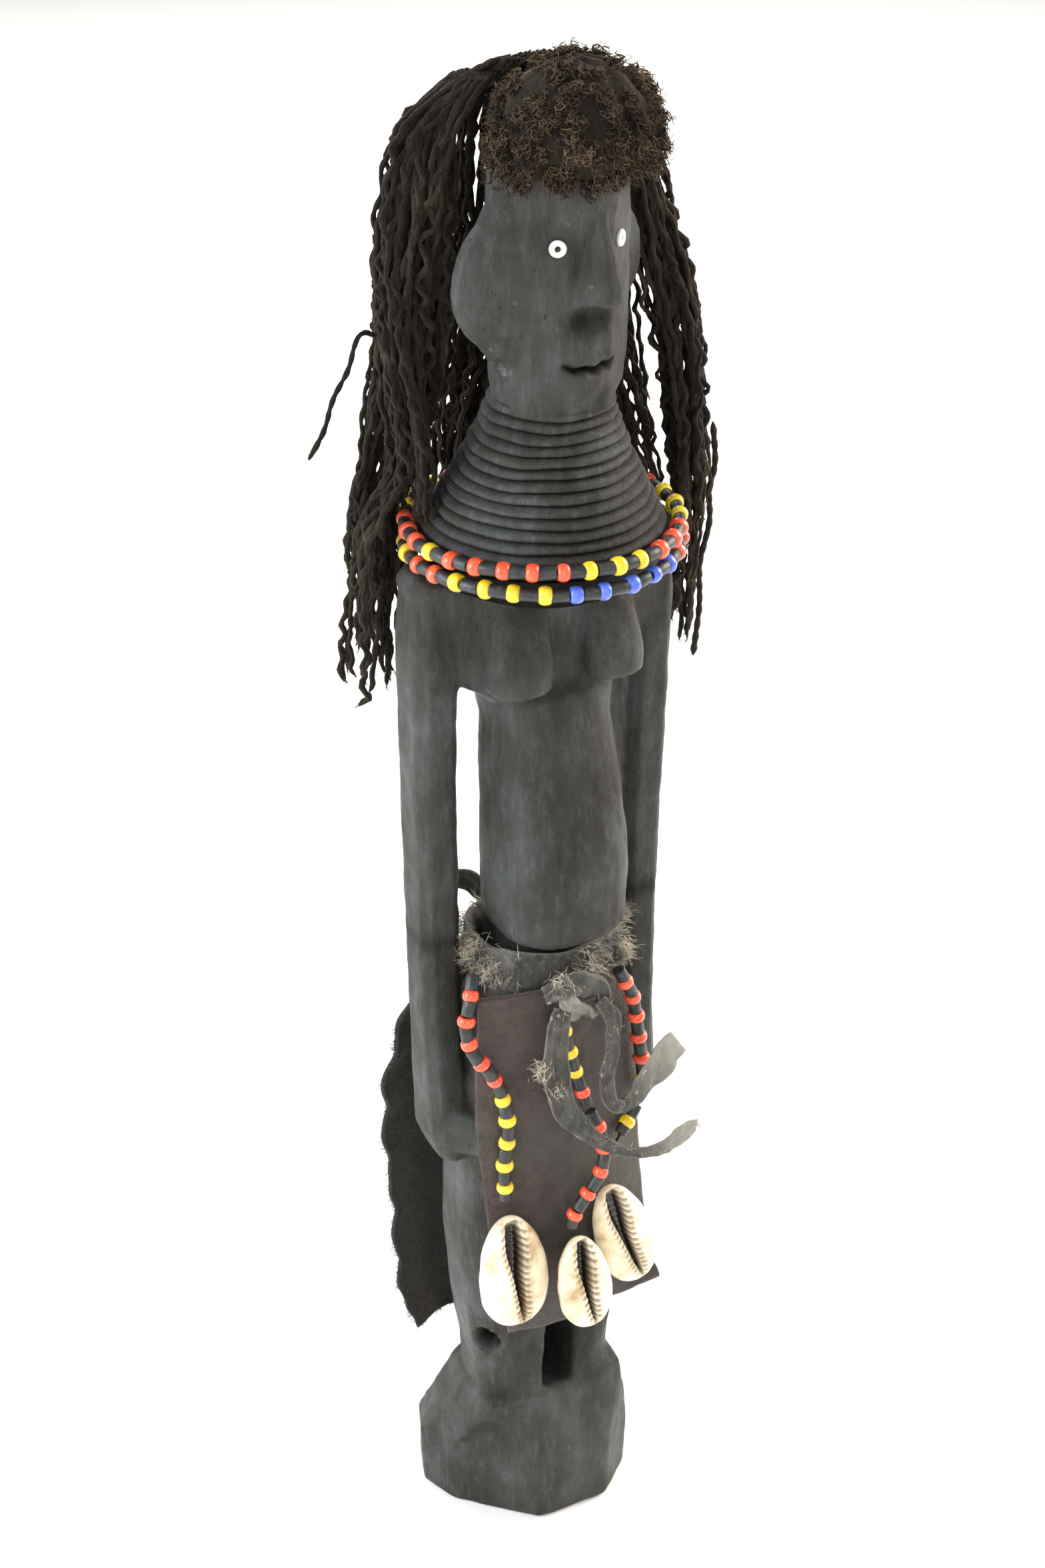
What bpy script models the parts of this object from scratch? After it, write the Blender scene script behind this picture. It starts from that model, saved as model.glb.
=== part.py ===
"""A carved wooden fertility doll in the style of the Turkana of Kenya, as an assembly of its separate pieces.

Lengths below are in millimetres and are turned to metres when a mesh is made.
+Z is up, the doll faces -Y, its right hand is at -X, and the origin is under the middle of its base.
"""

import math

import bmesh
import bpy
from mathutils import Matrix, Vector

MM = 0.001

# Driving dimensions
HEAD_TOP = 317.0
CHIN = 268.0
NECK_BASE = 240.0
SHOULDER_TOP = 235.6
ARMPIT = 213.0
BELLY_BASE = 160.2
WAIST = 153.6
CROTCH = 98.0
INSTEP = 41.0
BASE_RIM = 16.0
GAP = 0.3  # left between pieces that touch

SHOULDER_HALF = 27.0
ARM_X = 22.7
NECK_TOP_R = 10.8
NECK_BASE_R = 23.6
NECK_RINGS = 14
NECK_X = 0.8
NECK_BASE_Y = -6.0
NECK_TOP_Y = -10.4

HEAD_Y = -11.0
HEAD_TURN = math.radians(12)
FACE_HALF = 11.0
EAR_R = 12.6
EAR_X = 8.0
EYE_X = 6.0
EYE_Z = 297.0
EYE_R = 1.45

BEAD_R = 1.7
STRING_BEAD_R = 1.65
SPACER_R = 1.25
THREAD_R = 0.4
STRING_PITCH = 5.1
BEAD_LENGTH = 1.9


def clear_scene():
    for obj in list(bpy.data.objects):
        bpy.data.objects.remove(obj)


def material(name, colour, roughness, metallic=0.0):
    made = bpy.data.materials.get(name) or bpy.data.materials.new(name)
    made.use_nodes = True
    shader = made.node_tree.nodes["Principled BSDF"]
    shader.inputs["Base Color"].default_value = (*colour, 1.0)
    shader.inputs["Roughness"].default_value = roughness
    shader.inputs["Metallic"].default_value = metallic
    return made


def dyed_wood():
    return material("dyed_wood", (0.055, 0.052, 0.050), 0.55)


def black_wool():
    return material("black_wool", (0.030, 0.022, 0.016), 0.95)


def oiled_leather():
    return material("oiled_leather", (0.075, 0.055, 0.050), 0.6)


def goat_hide():
    return material("goat_hide", (0.035, 0.033, 0.030), 0.85)


def rawhide():
    return material("rawhide", (0.14, 0.14, 0.12), 0.8)


def black_rubber():
    return material("black_rubber", (0.02, 0.021, 0.022), 0.4)


def cowrie_shell():
    return material("cowrie_shell", (0.88, 0.82, 0.68), 0.25)


def bead_glass(colour):
    colours = {
        "orange": (0.90, 0.13, 0.04),
        "yellow": (0.86, 0.70, 0.04),
        "blue": (0.10, 0.18, 0.75),
        "white": (0.85, 0.85, 0.82),
    }
    return material("glass_" + colour, colours[colour], 0.25)


def steel():
    return material("steel_pin", (0.30, 0.28, 0.26), 0.4, 1.0)


# Meshes -------------------------------------------------------------------------------


def mesh_object(name, points, faces, finish, smooth_angle=40):
    """A closed mesh from points in millimetres, with its faces turned outwards."""
    mesh = bpy.data.meshes.new(name)
    bm = bmesh.new()
    corners = [bm.verts.new(Vector(p) * MM) for p in points]
    for face in faces:
        bm.faces.new([corners[i] for i in face])
    bmesh.ops.recalc_face_normals(bm, faces=bm.faces)
    bm.to_mesh(mesh)
    bm.free()
    mesh.materials.append(finish)
    mesh.shade_smooth()
    mesh.set_sharp_from_angle(angle=math.radians(smooth_angle))
    obj = bpy.data.objects.new(name, mesh)
    bpy.context.scene.collection.objects.link(obj)
    return obj


def loft(name, rings, finish, closed=False):
    """Joins rings of points, each with the same count, into a skin with two caps, or into a closed loop."""
    count = len(rings[0])
    points = [p for ring in rings for p in ring]
    faces = []
    for i in range(len(rings) if closed else len(rings) - 1):
        here, there = i * count, (i + 1) % len(rings) * count
        for j in range(count):
            k = (j + 1) % count
            faces.append((here + j, here + k, there + k, there + j))
    if not closed:
        last = (len(rings) - 1) * count
        faces.append(tuple(reversed(range(count))))
        faces.append(tuple(range(last, last + count)))
    return mesh_object(name, points, faces, finish)


def oval(x, y, z, half_w, half_d, power=2.0, count=24, slope=0.0):
    """A flat superellipse, which climbs towards the front by slope."""
    ring = []
    for i in range(count):
        angle = 2 * math.pi * i / count
        c, s = math.cos(angle), math.sin(angle)
        across = half_w * math.copysign(abs(c) ** (2 / power), c)
        deep = half_d * math.copysign(abs(s) ** (2 / power), s)
        ring.append((x + across, y + deep, z - deep * slope))
    return ring


def stack(name, sections, finish, power=2.0, count=24, slope=0.0):
    """A loft of ovals, each given as (z, x, y, half width, half depth)."""
    rings = [oval(x, y, z, w, d, power, count, slope) for z, x, y, w, d in sections]
    return loft(name, rings, finish)


def smooth_route(points, per_span=6):
    """Points along a Catmull-Rom curve through the route's own points."""
    route = [Vector(p) for p in points]
    ends = [2 * route[0] - route[1], *route, 2 * route[-1] - route[-2]]
    out = []
    for a, b, c, d in zip(ends, ends[1:], ends[2:], ends[3:]):
        for i in range(per_span):
            t = i / per_span
            out.append(
                0.5 * (2 * b + (c - a) * t + (2 * a - 5 * b + 4 * c - d) * t * t + (3 * b - a - 3 * c + d) * t**3)
            )
    return [*out, route[-1]]


def point_at(route, distance):
    """The place and the direction at a distance along a route."""
    for a, b in zip(route, route[1:]):
        step = (b - a).length
        if distance <= step:
            return a + (b - a) * (distance / step), (b - a).normalized()
        distance -= step
    return route[-1] + (route[-1] - route[-2]).normalized() * distance, (route[-1] - route[-2]).normalized()


def length_of(route):
    return sum((b - a).length for a, b in zip(route, route[1:]))


def circle_about(place, direction, radius, sides):
    turn = direction.to_track_quat("Z", "Y")
    ring = []
    for i in range(sides):
        angle = 2 * math.pi * i / sides
        ring.append(place + turn @ Vector((radius * math.cos(angle), radius * math.sin(angle), 0)))
    return ring


def tube(name, route, radii, finish, sides=8):
    """A tube whose radius is given at each distance along the route: radii is [(distance, radius), ...]."""
    rings = [circle_about(*point_at(route, at), radius, sides) for at, radius in radii]
    return loft(name, rings, finish)


def yarn(name, points, radius, finish):
    """A free cord as a bevelled curve with filled caps."""
    curve = bpy.data.curves.new(name, "CURVE")
    curve.dimensions = "3D"
    curve.bevel_depth = radius * MM
    curve.bevel_resolution = 2
    curve.use_fill_caps = True
    route = smooth_route(points, 3)
    line = curve.splines.new("POLY")
    line.points.add(len(route) - 1)
    for spot, place in zip(line.points, route):
        spot.co = (*(place * MM), 1)
    curve.materials.append(finish)
    obj = bpy.data.objects.new(name, curve)
    bpy.context.scene.collection.objects.link(obj)
    return obj


def ribbon(name, points, half_widths, leans, thickness, finish):
    """A flat strap along a route. A lean of 0 degrees lays its width across X, and 90 stands it along Z."""
    rings = []
    for i, place in enumerate(Vector(p) for p in points):
        before, after = Vector(points[max(i - 1, 0)]), Vector(points[min(i + 1, len(points) - 1)])
        along = (after - before).normalized()
        lean = math.radians(leans[i])
        wide = Vector((math.cos(lean), 0.0, math.sin(lean)))
        wide = (wide - along * wide.dot(along)).normalized() * half_widths[i]
        thick = along.cross(wide).normalized() * thickness / 2
        rings.append([place + wide + thick, place - wide + thick, place - wide - thick, place + wide - thick])
    return loft(name, rings, finish)


def sheet(name, rows, thickness, finish):
    """A hanging piece of hide. Each row is a list of points across it, from the top row to the lowest."""
    rings = []
    for row in rows:
        front = [(x, y - thickness / 2, z) for x, y, z in row]
        back = [(x, y + thickness / 2, z) for x, y, z in reversed(row)]
        rings.append(front + back)
    return loft(name, rings, finish)


def disc(name, place, direction, radius, length, finish, sides=20, bevel=0.0):
    """A short cylinder centred on place, with its rims cut back by bevel."""
    half = length / 2
    steps = [(-half, radius - bevel), (-half + bevel, radius), (half - bevel, radius), (half, radius - bevel)]
    if not bevel:
        steps = [(-half, radius), (half, radius)]
    rings = [circle_about(place + direction * at, direction, r, sides) for at, r in steps]
    return loft(name, rings, finish)


def bead(name, place, direction, outer, inner, length, finish, sides=8):
    """A round bead with a hole along its direction."""
    half = length / 2
    profile = [(-half, inner), (-half, outer * 0.78), (0.0, outer), (half, outer * 0.78), (half, inner)]
    rings = [circle_about(place + direction * at, direction, r, sides) for at, r in profile]
    return loft(name, rings, finish, closed=True)


def helper(obj):
    obj.hide_render = True
    obj.display_type = "WIRE"
    return obj


def combine(target, operation, *others):
    """Adds or cuts helpers, each with its own Boolean."""
    for other in others:
        helper(other)
        step = target.modifiers.new(operation.lower() + "_" + other.name, "BOOLEAN")
        step.operation = operation
        step.object = other
        step.solver = "EXACT"


# The carving --------------------------------------------------------------------------


def head_frame(x, y, z):
    """A point given in the turned head's own frame, whose front is -Y, as a point of the doll."""
    turned = Matrix.Rotation(HEAD_TURN, 3, "Z") @ Vector((x, y, 0))
    return Vector((turned.x, turned.y + HEAD_Y, z))


def head_front(x, y):
    return Matrix.Rotation(HEAD_TURN, 3, "Z") @ Vector((x, y, 0)).normalized()


def base_block(finish):
    """The rough block under the feet: flat knife facets from ten corners up to the square foot of the legs."""
    corners = [
        (-5.0, -17.3), (12.4, -18.0), (21.0, -11.0), (25.4, -2.4), (21.5, 11.0),
        (9.0, 18.5), (-9.0, 19.0), (-20.0, 14.0), (-23.3, 6.0), (-19.9, -2.4),
    ]  # fmt: skip
    ankles = [
        (-4.5, -17.1), (10.0, -17.2), (16.4, -15.4), (16.9, -5.0), (15.2, 4.8),
        (6.5, 7.6), (-6.5, 7.7), (-15.2, 4.9), (-16.9, -5.1), (-16.3, -15.3),
    ]  # fmt: skip
    rings = [[(x * share, y * share, z) for x, y in corners] for z, share in ((0.0, 0.955), (1.0, 0.98), (BASE_RIM, 1.0))]
    rings += [[(x * share, y * share, z) for x, y in ankles] for z, share in ((INSTEP - 3, 1.0), (INSTEP - 1.5, 0.93))]
    return loft("base_block", rings, finish)


def body_column(finish):
    """Legs, hips, waist, belly and chest as one skin. The belly hangs forward over the waist."""
    sections = [
        (30.0, 0, -4.7, 16.0, 12.0),
        (36.0, 0, -4.7, 15.7, 11.8),
        (48.0, 0, -5.0, 16.6, 11.9),
        (64.0, 0, -5.6, 19.0, 12.4),
        (84.0, 0, -6.5, 20.8, 13.0),
        (104.0, 0, -7.2, 20.4, 13.4),
        (124.0, 0, -7.5, 18.2, 13.2),
        (140.0, 0, -7.5, 15.8, 12.4),
        (147.0, 0, -7.5, 13.0, 11.0),
        (WAIST, 0, -7.8, 11.4, 10.2),
        (BELLY_BASE - 1.2, 0, -8.0, 11.2, 10.2),
        (BELLY_BASE, 0, -11.8, 12.2, 12.8),
        (BELLY_BASE + 2.2, 0, -12.4, 12.9, 13.9),
        (175.0, 0, -12.4, 13.2, 14.2),
        (190.0, 0, -10.8, 12.7, 12.8),
        (204.0, 0, -8.6, 11.9, 11.0),
        (ARMPIT - 2.5, 0, -7.6, 13.0, 10.4),
        (ARMPIT, 0, -6.8, 17.6, 8.6),
        (226.0, 0, -6.2, 19.0, 10.0),
        (SHOULDER_TOP - 0.7, 0, -5.8, 19.0, 10.6),
    ]
    return stack("body_column", sections, finish, power=2.7, count=28)


def shoulder_bar(finish):
    sections = [
        (ARMPIT + 1.5, 0, -5.6, 19.5, 5.6),
        (222.0, 0, -5.4, 24.5, 7.0),
        (SHOULDER_TOP - 2.2, 0, -5.2, SHOULDER_HALF, 8.2),
        (SHOULDER_TOP, 0, -5.2, SHOULDER_HALF - 1.6, 7.4),
    ]
    return stack("shoulder_bar", sections, finish, power=5.0, count=24)


def facet_ring(x, y, z, half_w, half_d):
    """An eight-sided knife-cut section: a rectangle with its corners taken off."""
    a, b = half_w * 0.55, half_d * 0.6
    return [
        (x + half_w, y - b, z), (x + half_w, y + b, z), (x + a, y + half_d, z), (x - a, y + half_d, z),
        (x - half_w, y + b, z), (x - half_w, y - b, z), (x - a, y - half_d, z), (x + a, y - half_d, z),
    ]  # fmt: skip


def arm(side, finish):
    """One hanging arm, from inside the shoulder to the elbow. side is -1 for the right and 1 for the left."""
    sections = [
        (SHOULDER_TOP - 0.8, ARM_X - 0.6, -5.2, 4.1, 6.4),
        (224.0, ARM_X, -5.2, 4.6, 6.6),
        (205.0, ARM_X + 0.1, -4.8, 4.4, 6.2),
        (180.0, ARM_X - 0.1, -4.4, 4.3, 5.8),
        (150.0, ARM_X - 0.4, -4.2, 4.2, 5.6),
        (128.0, ARM_X - 0.7, -4.8, 4.3, 5.8),
        (112.0, ARM_X - 1.1, -6.0, 4.6, 6.6),
        (106.6, ARM_X - 2.1, -7.1, 3.7, 5.7),
    ]
    name = "arm_right" if side < 0 else "arm_left"
    return loft(name, [facet_ring(side * x, y, z, w, d) for z, x, y, w, d in sections], finish)


def forearm(side, finish):
    """The bent forearm and the flat hand that lies on the hip."""
    lift = 0.0 if side < 0 else 0.52
    route = [(21.3, -4.3, 112.9), (20.7, -12.3, 114.1), (17.1, -17.5, 114.3), (12.2, -19.3, 113.5)]
    name = "forearm_right" if side < 0 else "forearm_left"
    rings = []
    for (x, y, z), half_h, half_t in zip(route, (4.7, 4.9, 4.3, 3.6), (2.8, 2.7, 2.2, 1.6)):
        place = Vector((side * x, y, z + lift))
        outward = Vector((place.x, place.y + 7.0, 0)).normalized() * half_t
        rise = Vector((0, 0, half_h))
        corners = ((1, -0.6), (1, 0.6), (0.5, 1), (-0.5, 1), (-1, 0.6), (-1, -0.6), (-0.5, -1), (0.5, -1))
        rings.append([place + outward * a + rise * b for a, b in corners])
    return loft(name, rings, finish)


def breast(side, finish):
    sections = [
        (213.4, side * 9.6, -14.8, 4.8, 5.2),
        (214.6, side * 9.6, -15.2, 6.0, 6.6),
        (219.0, side * 9.4, -15.2, 6.3, 6.6),
        (227.0, side * 9.0, -13.2, 5.8, 5.2),
        (234.0, side * 8.0, -10.5, 4.0, 3.4),
    ]
    return stack("breast_right" if side < 0 else "breast_left", sections, finish, power=2.8, count=16)


def neck_radius(share):
    """The neck flares towards the shoulders. share is 0 at its foot and 1 under the chin."""
    return NECK_TOP_R + (NECK_BASE_R - NECK_TOP_R) * (1 - share) ** 1.25


def ringed_neck(finish):
    """The carved rings: a groove, then a round crest, for each one."""
    rings = [oval(NECK_X, NECK_BASE_Y, NECK_BASE - 7, 15.0, 12.0, count=22)]
    rings.append(oval(NECK_X, NECK_BASE_Y, NECK_BASE - 0.9, NECK_BASE_R - 1.6, NECK_BASE_R - 1.6, count=22))
    height = CHIN - NECK_BASE
    for i in range(NECK_RINGS):
        for part, swell in ((0.0, -0.55), (0.3, 0.3), (0.72, 0.3)):
            share = (i + part) / NECK_RINGS
            radius = neck_radius(share) + swell
            y = NECK_BASE_Y + (NECK_TOP_Y - NECK_BASE_Y) * share
            rings.append(oval(NECK_X * (1 - share), y, NECK_BASE + height * share, radius, radius, count=22))
    rings.append(oval(0, NECK_TOP_Y, CHIN, NECK_TOP_R - 0.6, NECK_TOP_R - 0.6, count=22))
    rings.append(oval(0, NECK_TOP_Y, CHIN + 4, NECK_TOP_R - 1.6, NECK_TOP_R - 2.6, count=22))
    return loft("ringed_neck", rings, finish)


def head_ring(z, half, front, corner, back):
    """One level of the head: a narrow front, cheeks cut back at a slant, and a round back."""
    side = [
        (0.0, -front), (half * 0.28, -front + 0.4), (half * 0.54, -front + (front - corner) * 0.42),
        (half * 0.8, -corner - (front - corner) * 0.22), (half * 0.98, -corner + 0.4), (half, -corner * 0.2),
        (half * 0.96, back * 0.45), (half * 0.72, back * 0.85), (half * 0.38, back * 0.98),
    ]  # fmt: skip
    outline = side + [(0.0, back)] + [(-x, y) for x, y in reversed(side[1:])]
    return [head_frame(x, y, z) for x, y in outline]


def head_levels(grow=0.0, top=HEAD_TOP):
    levels = [
        (CHIN - 3, 9.4, 8.6, 5.4, 8.6),
        (CHIN, 10.4, 10.6, 6.0, 9.8),
        (CHIN + 3.5, 10.7, 12.0, 6.4, 10.0),
        (CHIN + 8, 10.8, 12.4, 6.5, 10.0),
        (CHIN + 11, 10.7, 12.0, 6.4, 10.0),
        (CHIN + 17, 10.6, 11.7, 6.2, 10.2),
        (CHIN + 24, FACE_HALF, 11.8, 6.2, 10.4),
        (CHIN + 30, FACE_HALF, 12.0, 6.2, 10.4),
        (CHIN + 35, FACE_HALF, 12.8, 6.4, 10.4),
        (CHIN + 40, FACE_HALF, 12.4, 6.4, 10.2),
        (CHIN + 45, 9.6, 10.6, 5.6, 9.0),
        (top, 6.0, 6.6, 3.4, 5.6),
    ]
    return [(z, half + grow, front + grow, corner + grow, back + grow) for z, half, front, corner, back in levels]


def head(finish):
    return loft("head", [head_ring(*level) for level in head_levels()], finish)


def ear(side, finish):
    """A round ear flange at the back of the head, whose front slopes forward into the cheek."""
    slope = 1.0 if side < 0 else 0.55
    turn = head_front(0, -1)
    rings = []
    for ahead, x, radius in ((-2.6, EAR_X, EAR_R - 0.8), (-1.8, EAR_X, EAR_R), (0.0, EAR_X, EAR_R),
                             (1.0 * slope, EAR_X - 0.4, EAR_R - 1.0), (6.4 * slope, EAR_X - 3.2, 6.6)):  # fmt: skip
        rings.append(circle_about(head_frame(side * x, 0.4 - ahead, CHIN + 21.6), turn, radius, 28))
    return loft("ear_right" if side < 0 else "ear_left", rings, finish)


def cheek(finish):
    """The flat cut that carries the right cheek back to the rim of its ear."""
    rings = []
    for rise, rim in (
        (-19.0, 9.9), (-15.0, 12.4), (-11.0, 15.3), (-7.5, 17.8), (-4.0, 19.5), (0.0, 20.3),
        (4.0, 19.6), (8.0, 17.8), (12.0, 15.4), (16.2, 12.9),
    ):  # fmt: skip
        outline = ((-4.27, -10.93), (-rim, 0.73), (-rim + 0.4, 1.63), (-3.07, 1.87))
        rings.append([head_frame(x, y, CHIN + 21.6 + rise) for x, y in outline])
    return loft("cheek", rings, finish)


def nose(finish):
    """A broad wedge that stands out most at its foot."""
    def level(z, half, out):
        return [head_frame(x, y, z) for x, y in ((-half, -9.5), (half, -9.5), (half, -11.2), (half * 0.3, -out), (-half * 0.3, -out), (-half, -11.2))]

    rings = [level(CHIN + 18.6, 4.3, 13.2), level(CHIN + 19.6, 4.6, 16.2), level(CHIN + 22.5, 4.0, 16.0), level(CHIN + 34.0, 1.6, 12.9)]
    return loft("nose", rings, finish)


def mouth_cutter(finish):
    """A thin sickle that leaves a calm, slightly lifted mouth line."""
    rings = []
    for i in range(9):
        x = -4.6 + 8.8 * i / 8
        lift = 0.05 * (x + 0.2) ** 2
        half = 0.5 * (1 - (abs(x + 0.2) / 5.2) ** 2) + 0.1
        z = CHIN + 7.4 + lift
        skin = 12.5 - 0.1 * x * x
        rings.append([head_frame(x, -skin - 2.0, z - half), head_frame(x, -skin - 2.0, z + half), head_frame(x, -skin + 1.3, z)])
    return loft("mouth_cutter", rings, finish)


def eye_direction(side):
    return head_front(side * 0.64, -0.77)


def eye_place(side):
    """The middle of the eye's face, just proud of the cheek's slant."""
    return head_frame(-EYE_X - 1.0, -9.05, EYE_Z) if side < 0 else head_frame(EYE_X, -9.75, EYE_Z)


def eye_socket(side, finish):
    name = "socket_right" if side < 0 else "socket_left"
    inward = eye_place(side) - eye_direction(side) * 0.4
    return disc(name, inward, eye_direction(side), EYE_R + GAP, 3.2, finish, 16)


def knot_hole(finish):
    """A dead knot in the right shin."""
    place = Vector((-10.5, -16.8, 66.0))
    ring_a = circle_about(place + Vector((0.6, -3, 1.0)), Vector((-0.1, 1, -0.1)).normalized(), 2.9, 7)
    ring_b = circle_about(place + Vector((0.0, 2.6, 0)), Vector((-0.1, 1, -0.1)).normalized(), 1.9, 7)
    return loft("knot_hole", [ring_a, ring_b], finish)


def leg_slot(finish):
    """The sawn gap between the legs, right through from front to back."""
    rings = [oval(0, -5, z, w, 30, power=8, count=12, slope=0) for z, w in ((INSTEP - 2.2, 3.8), (CROTCH - 5, 3.0), (CROTCH, 1.2))]
    return loft("leg_slot", rings, finish)


def carved_figure():
    """Everything that is cut from the one block of wood."""
    finish = dyed_wood()
    figure = body_column(finish)
    figure.name = "carved_figure"
    added = [base_block(finish)]
    for side in (-1, 1):
        added += [forearm(side, finish), arm(side, finish)]
    added.append(shoulder_bar(finish))
    for side in (-1, 1):
        added += [breast(side, finish), ear(side, finish)]
    added += [ringed_neck(finish), head(finish), cheek(finish), nose(finish)]
    combine(figure, "UNION", *added)
    cut = [leg_slot(finish), mouth_cutter(finish), knot_hole(finish), eye_socket(-1, finish), eye_socket(1, finish)]
    combine(figure, "DIFFERENCE", *cut)
    return figure


def eyes():
    """Each eye is a white bead let into the cheek, held by a short pin through its hole."""
    for side, word in ((-1, "right"), (1, "left")):
        place, out = eye_place(side), eye_direction(side)
        bead("eye_bead_" + word, place - out * 0.45, out, EYE_R, 0.75, 1.7, bead_glass("white"), 14)
        disc("eye_pin_" + word, place - out * 0.6, out, 0.42, 1.9, steel(), 8)


# Hair ---------------------------------------------------------------------------------

CAP_SLOPE = 0.17


def hair_cap():
    """The fleece pad glued over the crown, hollow where the head fills it."""
    finish = black_wool()
    sections = [
        (306.6, 1.6, -14.4, 13.0, 11.4),
        (309.0, 1.8, -14.4, 14.6, 12.6),
        (315.0, 1.8, -14.2, 14.8, 12.8),
        (321.0, 1.6, -13.8, 13.0, 11.2),
        (325.5, 1.4, -13.4, 9.6, 8.4),
        (328.0, 1.2, -13.0, 4.8, 4.2),
    ]
    cap = stack("hair_cap", sections, finish, count=20, slope=CAP_SLOPE)
    hollow = loft("cap_hollow", [head_ring(*level) for level in head_levels(GAP + 0.1, HEAD_TOP + 0.5)], finish)
    combine(cap, "DIFFERENCE", hollow)
    return cap


def hair_locks():
    """The mass of yarn cords at each side and behind, as three curtains that fall from the crown."""
    finish = black_wool()
    right = [
        (319.0, -13.6, 3.2, 2.4, 2.8),
        (312.0, -16.8, 1.6, 3.0, 4.4),
        (301.0, -18.2, 0.6, 4.0, 5.4),
        (290.0, -19.2, 2.4, 5.0, 6.0),
        (278.0, -17.8, 7.6, 6.2, 6.0),
        (264.0, -17.0, 12.8, 6.4, 5.0),
        (250.0, -18.4, 16.8, 5.6, 3.0),
        (240.0, -20.6, 17.8, 5.2, 2.7),
        (228.0, -21.2, 18.0, 4.8, 2.8),
        (214.0, -21.6, 18.2, 3.8, 2.8),
        (204.0, -22.0, 18.2, 2.4, 2.0),
    ]
    stack("hair_lock_right", right, finish, count=12)
    left = [
        (319.0, 16.4, 2.6, 2.4, 2.8),
        (312.0, 19.4, 1.4, 3.2, 4.2),
        (301.0, 22.6, 0.0, 4.2, 4.8),
        (290.0, 26.0, -1.2, 4.6, 5.2),
        (275.0, 30.2, -2.2, 4.6, 5.6),
        (260.0, 32.6, -2.4, 4.2, 5.6),
        (246.0, 34.2, -2.0, 3.4, 5.2),
        (234.0, 34.8, -1.0, 2.8, 5.0),
        (214.0, 34.4, 0.0, 2.6, 4.2),
        (203.0, 34.0, 0.5, 1.8, 2.8),
    ]
    stack("hair_lock_left", left, finish, count=12)
    back = [
        (321.0, 1.4, 1.6, 8.8, 2.4),
        (316.0, 1.5, 3.6, 11.6, 4.0),
        (306.0, 2.4, 6.0, 13.6, 4.6),
        (290.0, 4.0, 9.4, 14.6, 3.8),
        (270.0, 5.4, 16.2, 13.4, 4.0),
        (250.0, 6.0, 25.6, 12.6, 3.4),
        (240.0, 6.0, 26.6, 12.6, 3.0),
        (224.0, 5.4, 25.8, 12.8, 3.0),
        (209.0, 4.6, 24.6, 11.4, 2.0),
    ]
    stack("hair_back", back, finish, count=16)


def stray_cords():
    """Three yarns that stand clear of the curtains."""
    finish = black_wool()
    temple = [(-20.6, 0.4, 311.3), (-23.8, 0.2, 307.6), (-24.6, 0.0, 303.6), (-27.0, -0.4, 299.4), (-26.0, -0.8, 295.0), (-26.7, -1.0, 290.0), (-26.0, -1.2, 285.4), (-26.2, -0.8, 280.4)]
    yarn("stray_cord_temple", temple, 0.55, finish)
    jaw = [(-25.4, 7.6, 276.0), (-27.0, 7.0, 277.5), (-29.2, 6.6, 276.6), (-31.2, 6.2, 271.6), (-34.4, 5.8, 267.0), (-36.6, 5.4, 261.6), (-39.9, 5.0, 257.0)]
    yarn("stray_cord_jaw", jaw, 0.55, finish)
    shoulder = [(39.2, -2.0, 252.0), (39.8, -2.4, 244.0), (39.0, -2.0, 238.0), (40.0, -1.0, 231.0), (38.8, 0.0, 222.0), (39.4, 0.4, 213.0), (38.6, 0.8, 202.0)]
    yarn("stray_cord_shoulder", shoulder, 0.7, finish)


# Necklaces ----------------------------------------------------------------------------


def necklace(name, height, radius, count, finish):
    """Glass beads and short rubber tubes on one thread, joined here into a single ring."""
    rings = []
    for i in range(count):
        for part, thick in ((0.0, BEAD_R * 0.9), (0.4, BEAD_R * 0.9), (0.46, 1.15), (0.94, 1.15)):
            angle = 2 * math.pi * (i + part) / count
            place = Vector((NECK_X + radius * math.sin(angle), NECK_BASE_Y - radius * math.cos(angle), height))
            along = Vector((math.cos(angle), math.sin(angle), 0))
            rings.append(circle_about(place, along, thick, 5))
    return loft(name, rings, finish, closed=True)


def necklaces():
    finish = black_rubber()
    necklace("upper_necklace", 242.2, 24.9, 30, finish)
    necklace("lower_necklace", 238.2, 25.1, 29, finish)


# Waist strap and skirts ---------------------------------------------------------------


def waist_strap():
    """A strip of goatskin wound round the waist under the belly, as one closed band."""
    finish = rawhide()
    def band(z, half_w, half_d):
        return oval(0, -8.0, z, half_w, half_d, 2.3, 28, 0.03)

    band_rings = [
        band(147.6, 15.8, 14.0),
        band(151.0, 16.0, 14.6),
        band(156.6, 15.0, 13.6),
        band(157.0, 13.2, 11.9),
        band(151.0, 13.4, 12.0),
        band(148.2, 14.2, 12.6),
    ]
    return loft("waist_strap", band_rings, finish, closed=True)


def strap_knot():
    """The lump where the strap is tied in front."""
    sections = [
        (145.2, -1.2, -26.6, 2.6, 1.4),
        (147.2, -1.2, -26.6, 5.0, 2.3),
        (150.8, -1.4, -26.4, 5.8, 2.6),
        (154.0, -1.4, -25.4, 4.6, 1.9),
        (155.2, -1.4, -25.2, 2.4, 1.0),
    ]
    return stack("strap_knot", sections, rawhide(), count=14)


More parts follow.
